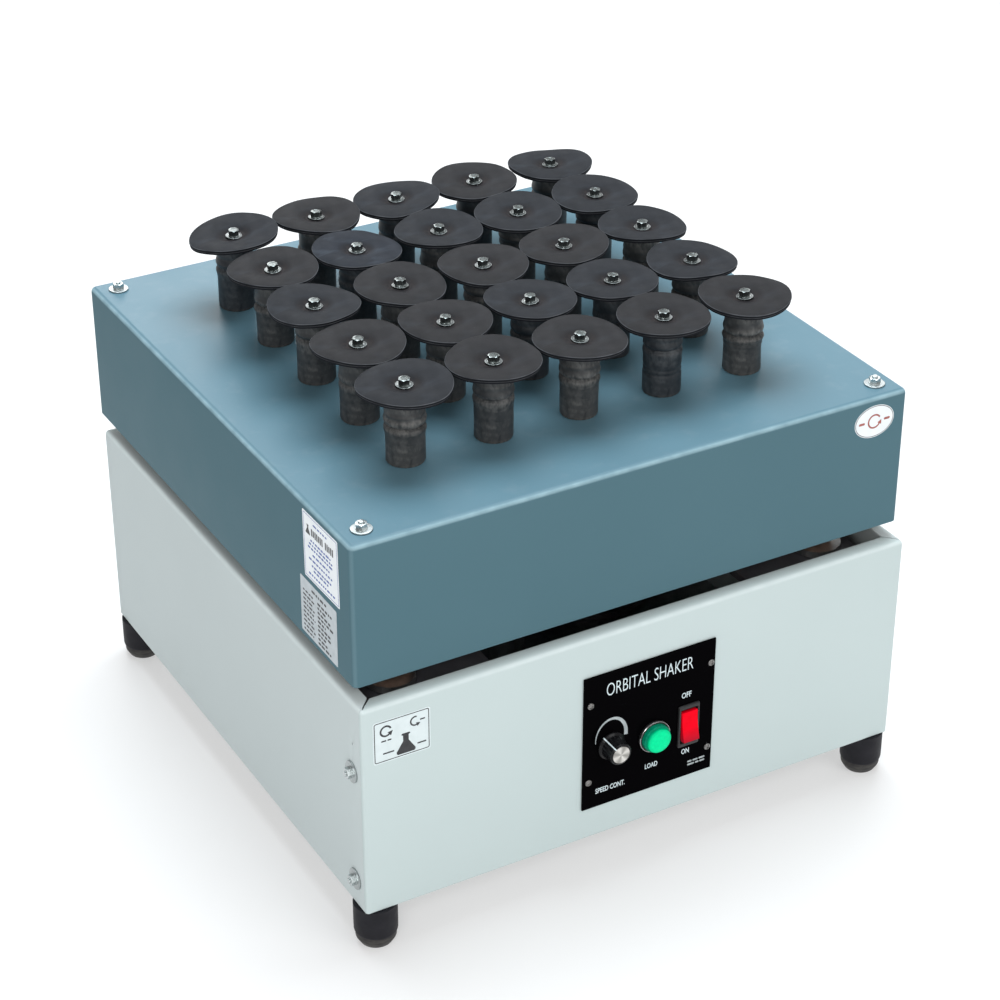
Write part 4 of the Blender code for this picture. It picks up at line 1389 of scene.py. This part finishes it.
def rear_details():
    """The inlet's three pins and two screws, and a plate with bars in place of words."""
    middle = back_of("mains_inlet")
    for name, x, up in (("earth", 0, 0.0026), ("line", -0.007, -0.0026), ("neutral", 0.007, -0.0026)):
        pin = moved(prism(rectangle(0.002, 0.004, 0.0004), -0.0176, -0.001), FACING_REAR)
        place = middle + Vector((x, 0, up))
        soften(make(f"inlet_pin_{name}", pin, BRASS, "base", place), 0.0003, 2)
    for name, side in (("left", -1), ("right", 1)):
        place = middle + Vector((side * 0.02, 0, 0))
        pan_screw(f"inlet_screw_{name}", place, FACING_REAR, INLET_SCREW, 0.4 * side)
    origin = Vector((0.12, BASE_REAR, BASE_BOTTOM + 0.075))
    lay = lay_flat("base", origin, TO_LEFT)
    lay("rear_plate_film", film(rectangle(0.07, 0.045, 0.0015)), LABEL_SILVER)
    bm = border(0.067, 0.042, 0.0012, 0.0005, 0.0009)
    bars(bm, [(0, 0.014, 0.044, 0.0026)])
    bars(bm, [(-0.004, 0.007 - 0.0056 * i, 0.046 - 0.004 * (i % 2), 0.001) for i in range(5)])
    lay("rear_plate_print", bm, PRINT_DARK)


def inner_finishes():
    """Materials for the CAD nodes that stay: the mechanism, the frames and the inlet."""
    looks = {
        CAST: ["main_bearing_housing", "driven_pulley", "motor_pulley", "platform_hub", "speed_control"],
        DULL_ZINC: ["main_crank", "base_plate"] + [f"corner_crank_{corner}" for corner in CORNERS],
        FRAME_PAINT: ["support_frame", "platform_frame", "motor"],
        BELT: ["drive_belt"],
        SWITCH_PLASTIC: ["mains_inlet"],
    }
    for finish, nodes in looks.items():
        for name in nodes:
            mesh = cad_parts[name].data
            mesh.materials.clear()
            mesh.materials.append(finish)
            shade(mesh, 32)


# --- studio ---

WHITE = (1.0, 1.0, 1.0)
SURROUNDING_LIGHT = 0.45
LIT_POINT = (0, 0, 0.25)
LIGHTS = {  # Each one's place, width and height, power and colour.
    "top_softbox": ((0.25, 0.45, 2.3), (1.8, 1.4), 70.0, (0.88, 0.95, 1.0)),
    "front_softbox": ((0.8, -2.2, 1.6), (1.6, 1.4), 19.0, WHITE),
    "left_softbox": ((-1.25, -1.55, 1.25), (0.7, 0.7), 13.0, WHITE),
    "back_left_softbox": ((0.5, 2.35, 1.55), (0.9, 1.3), 15.5, WHITE),
    "back_right_softbox": ((1.95, 1.55, 1.5), (0.9, 1.3), 7.5, WHITE),
}
CAMERA_PLACE = (-0.985, -1.755, 1.4025)
CAMERA_DOWN = 30.324
CAMERA_TURN = -29.507
CAMERA_LENS = 94.14


def studio():
    """A pale floor, soft lights and the camera at the photograph's viewing angle."""
    scene = bpy.context.scene
    reach = 20.0
    mesh = mesh_from("studio_floor", prism(rectangle_between(-reach, -reach, reach, reach), -0.02, 0))
    mesh.materials.append(studio_paper())
    add_object("studio_floor", mesh)

    world = bpy.data.worlds.new("studio_world")
    world.use_nodes = True
    background = world.node_tree.nodes["Background"]
    background.inputs["Color"].default_value = (*WHITE, 1.0)
    background.inputs["Strength"].default_value = SURROUNDING_LIGHT
    scene.world = world
    for name, (place, size, power, colour) in LIGHTS.items():
        data = bpy.data.lights.new(name, "AREA")
        data.shape = "RECTANGLE"
        data.size, data.size_y = size
        data.energy = power
        data.color = colour
        light = add_object(name, data)
        light.location = place
        light.rotation_euler = (Vector(LIT_POINT) - Vector(place)).to_track_quat("-Z", "Y").to_euler()

    data = bpy.data.cameras.new("camera")
    data.lens = CAMERA_LENS
    data.sensor_width = 36.0
    camera = add_object("camera", data)
    camera.location = CAMERA_PLACE
    camera.rotation_euler = (math.radians(90 - CAMERA_DOWN), 0, math.radians(CAMERA_TURN))
    scene.camera = camera
    scene.view_settings.view_transform = "Standard"
    scene.view_settings.look = "None"


studio()
platform_cover()
column_sleeves()
flask_posts()
base_shell()
feet()
control_panel()
knob()
lamp()
switch()
labels()
rear_details()
inner_finishes()
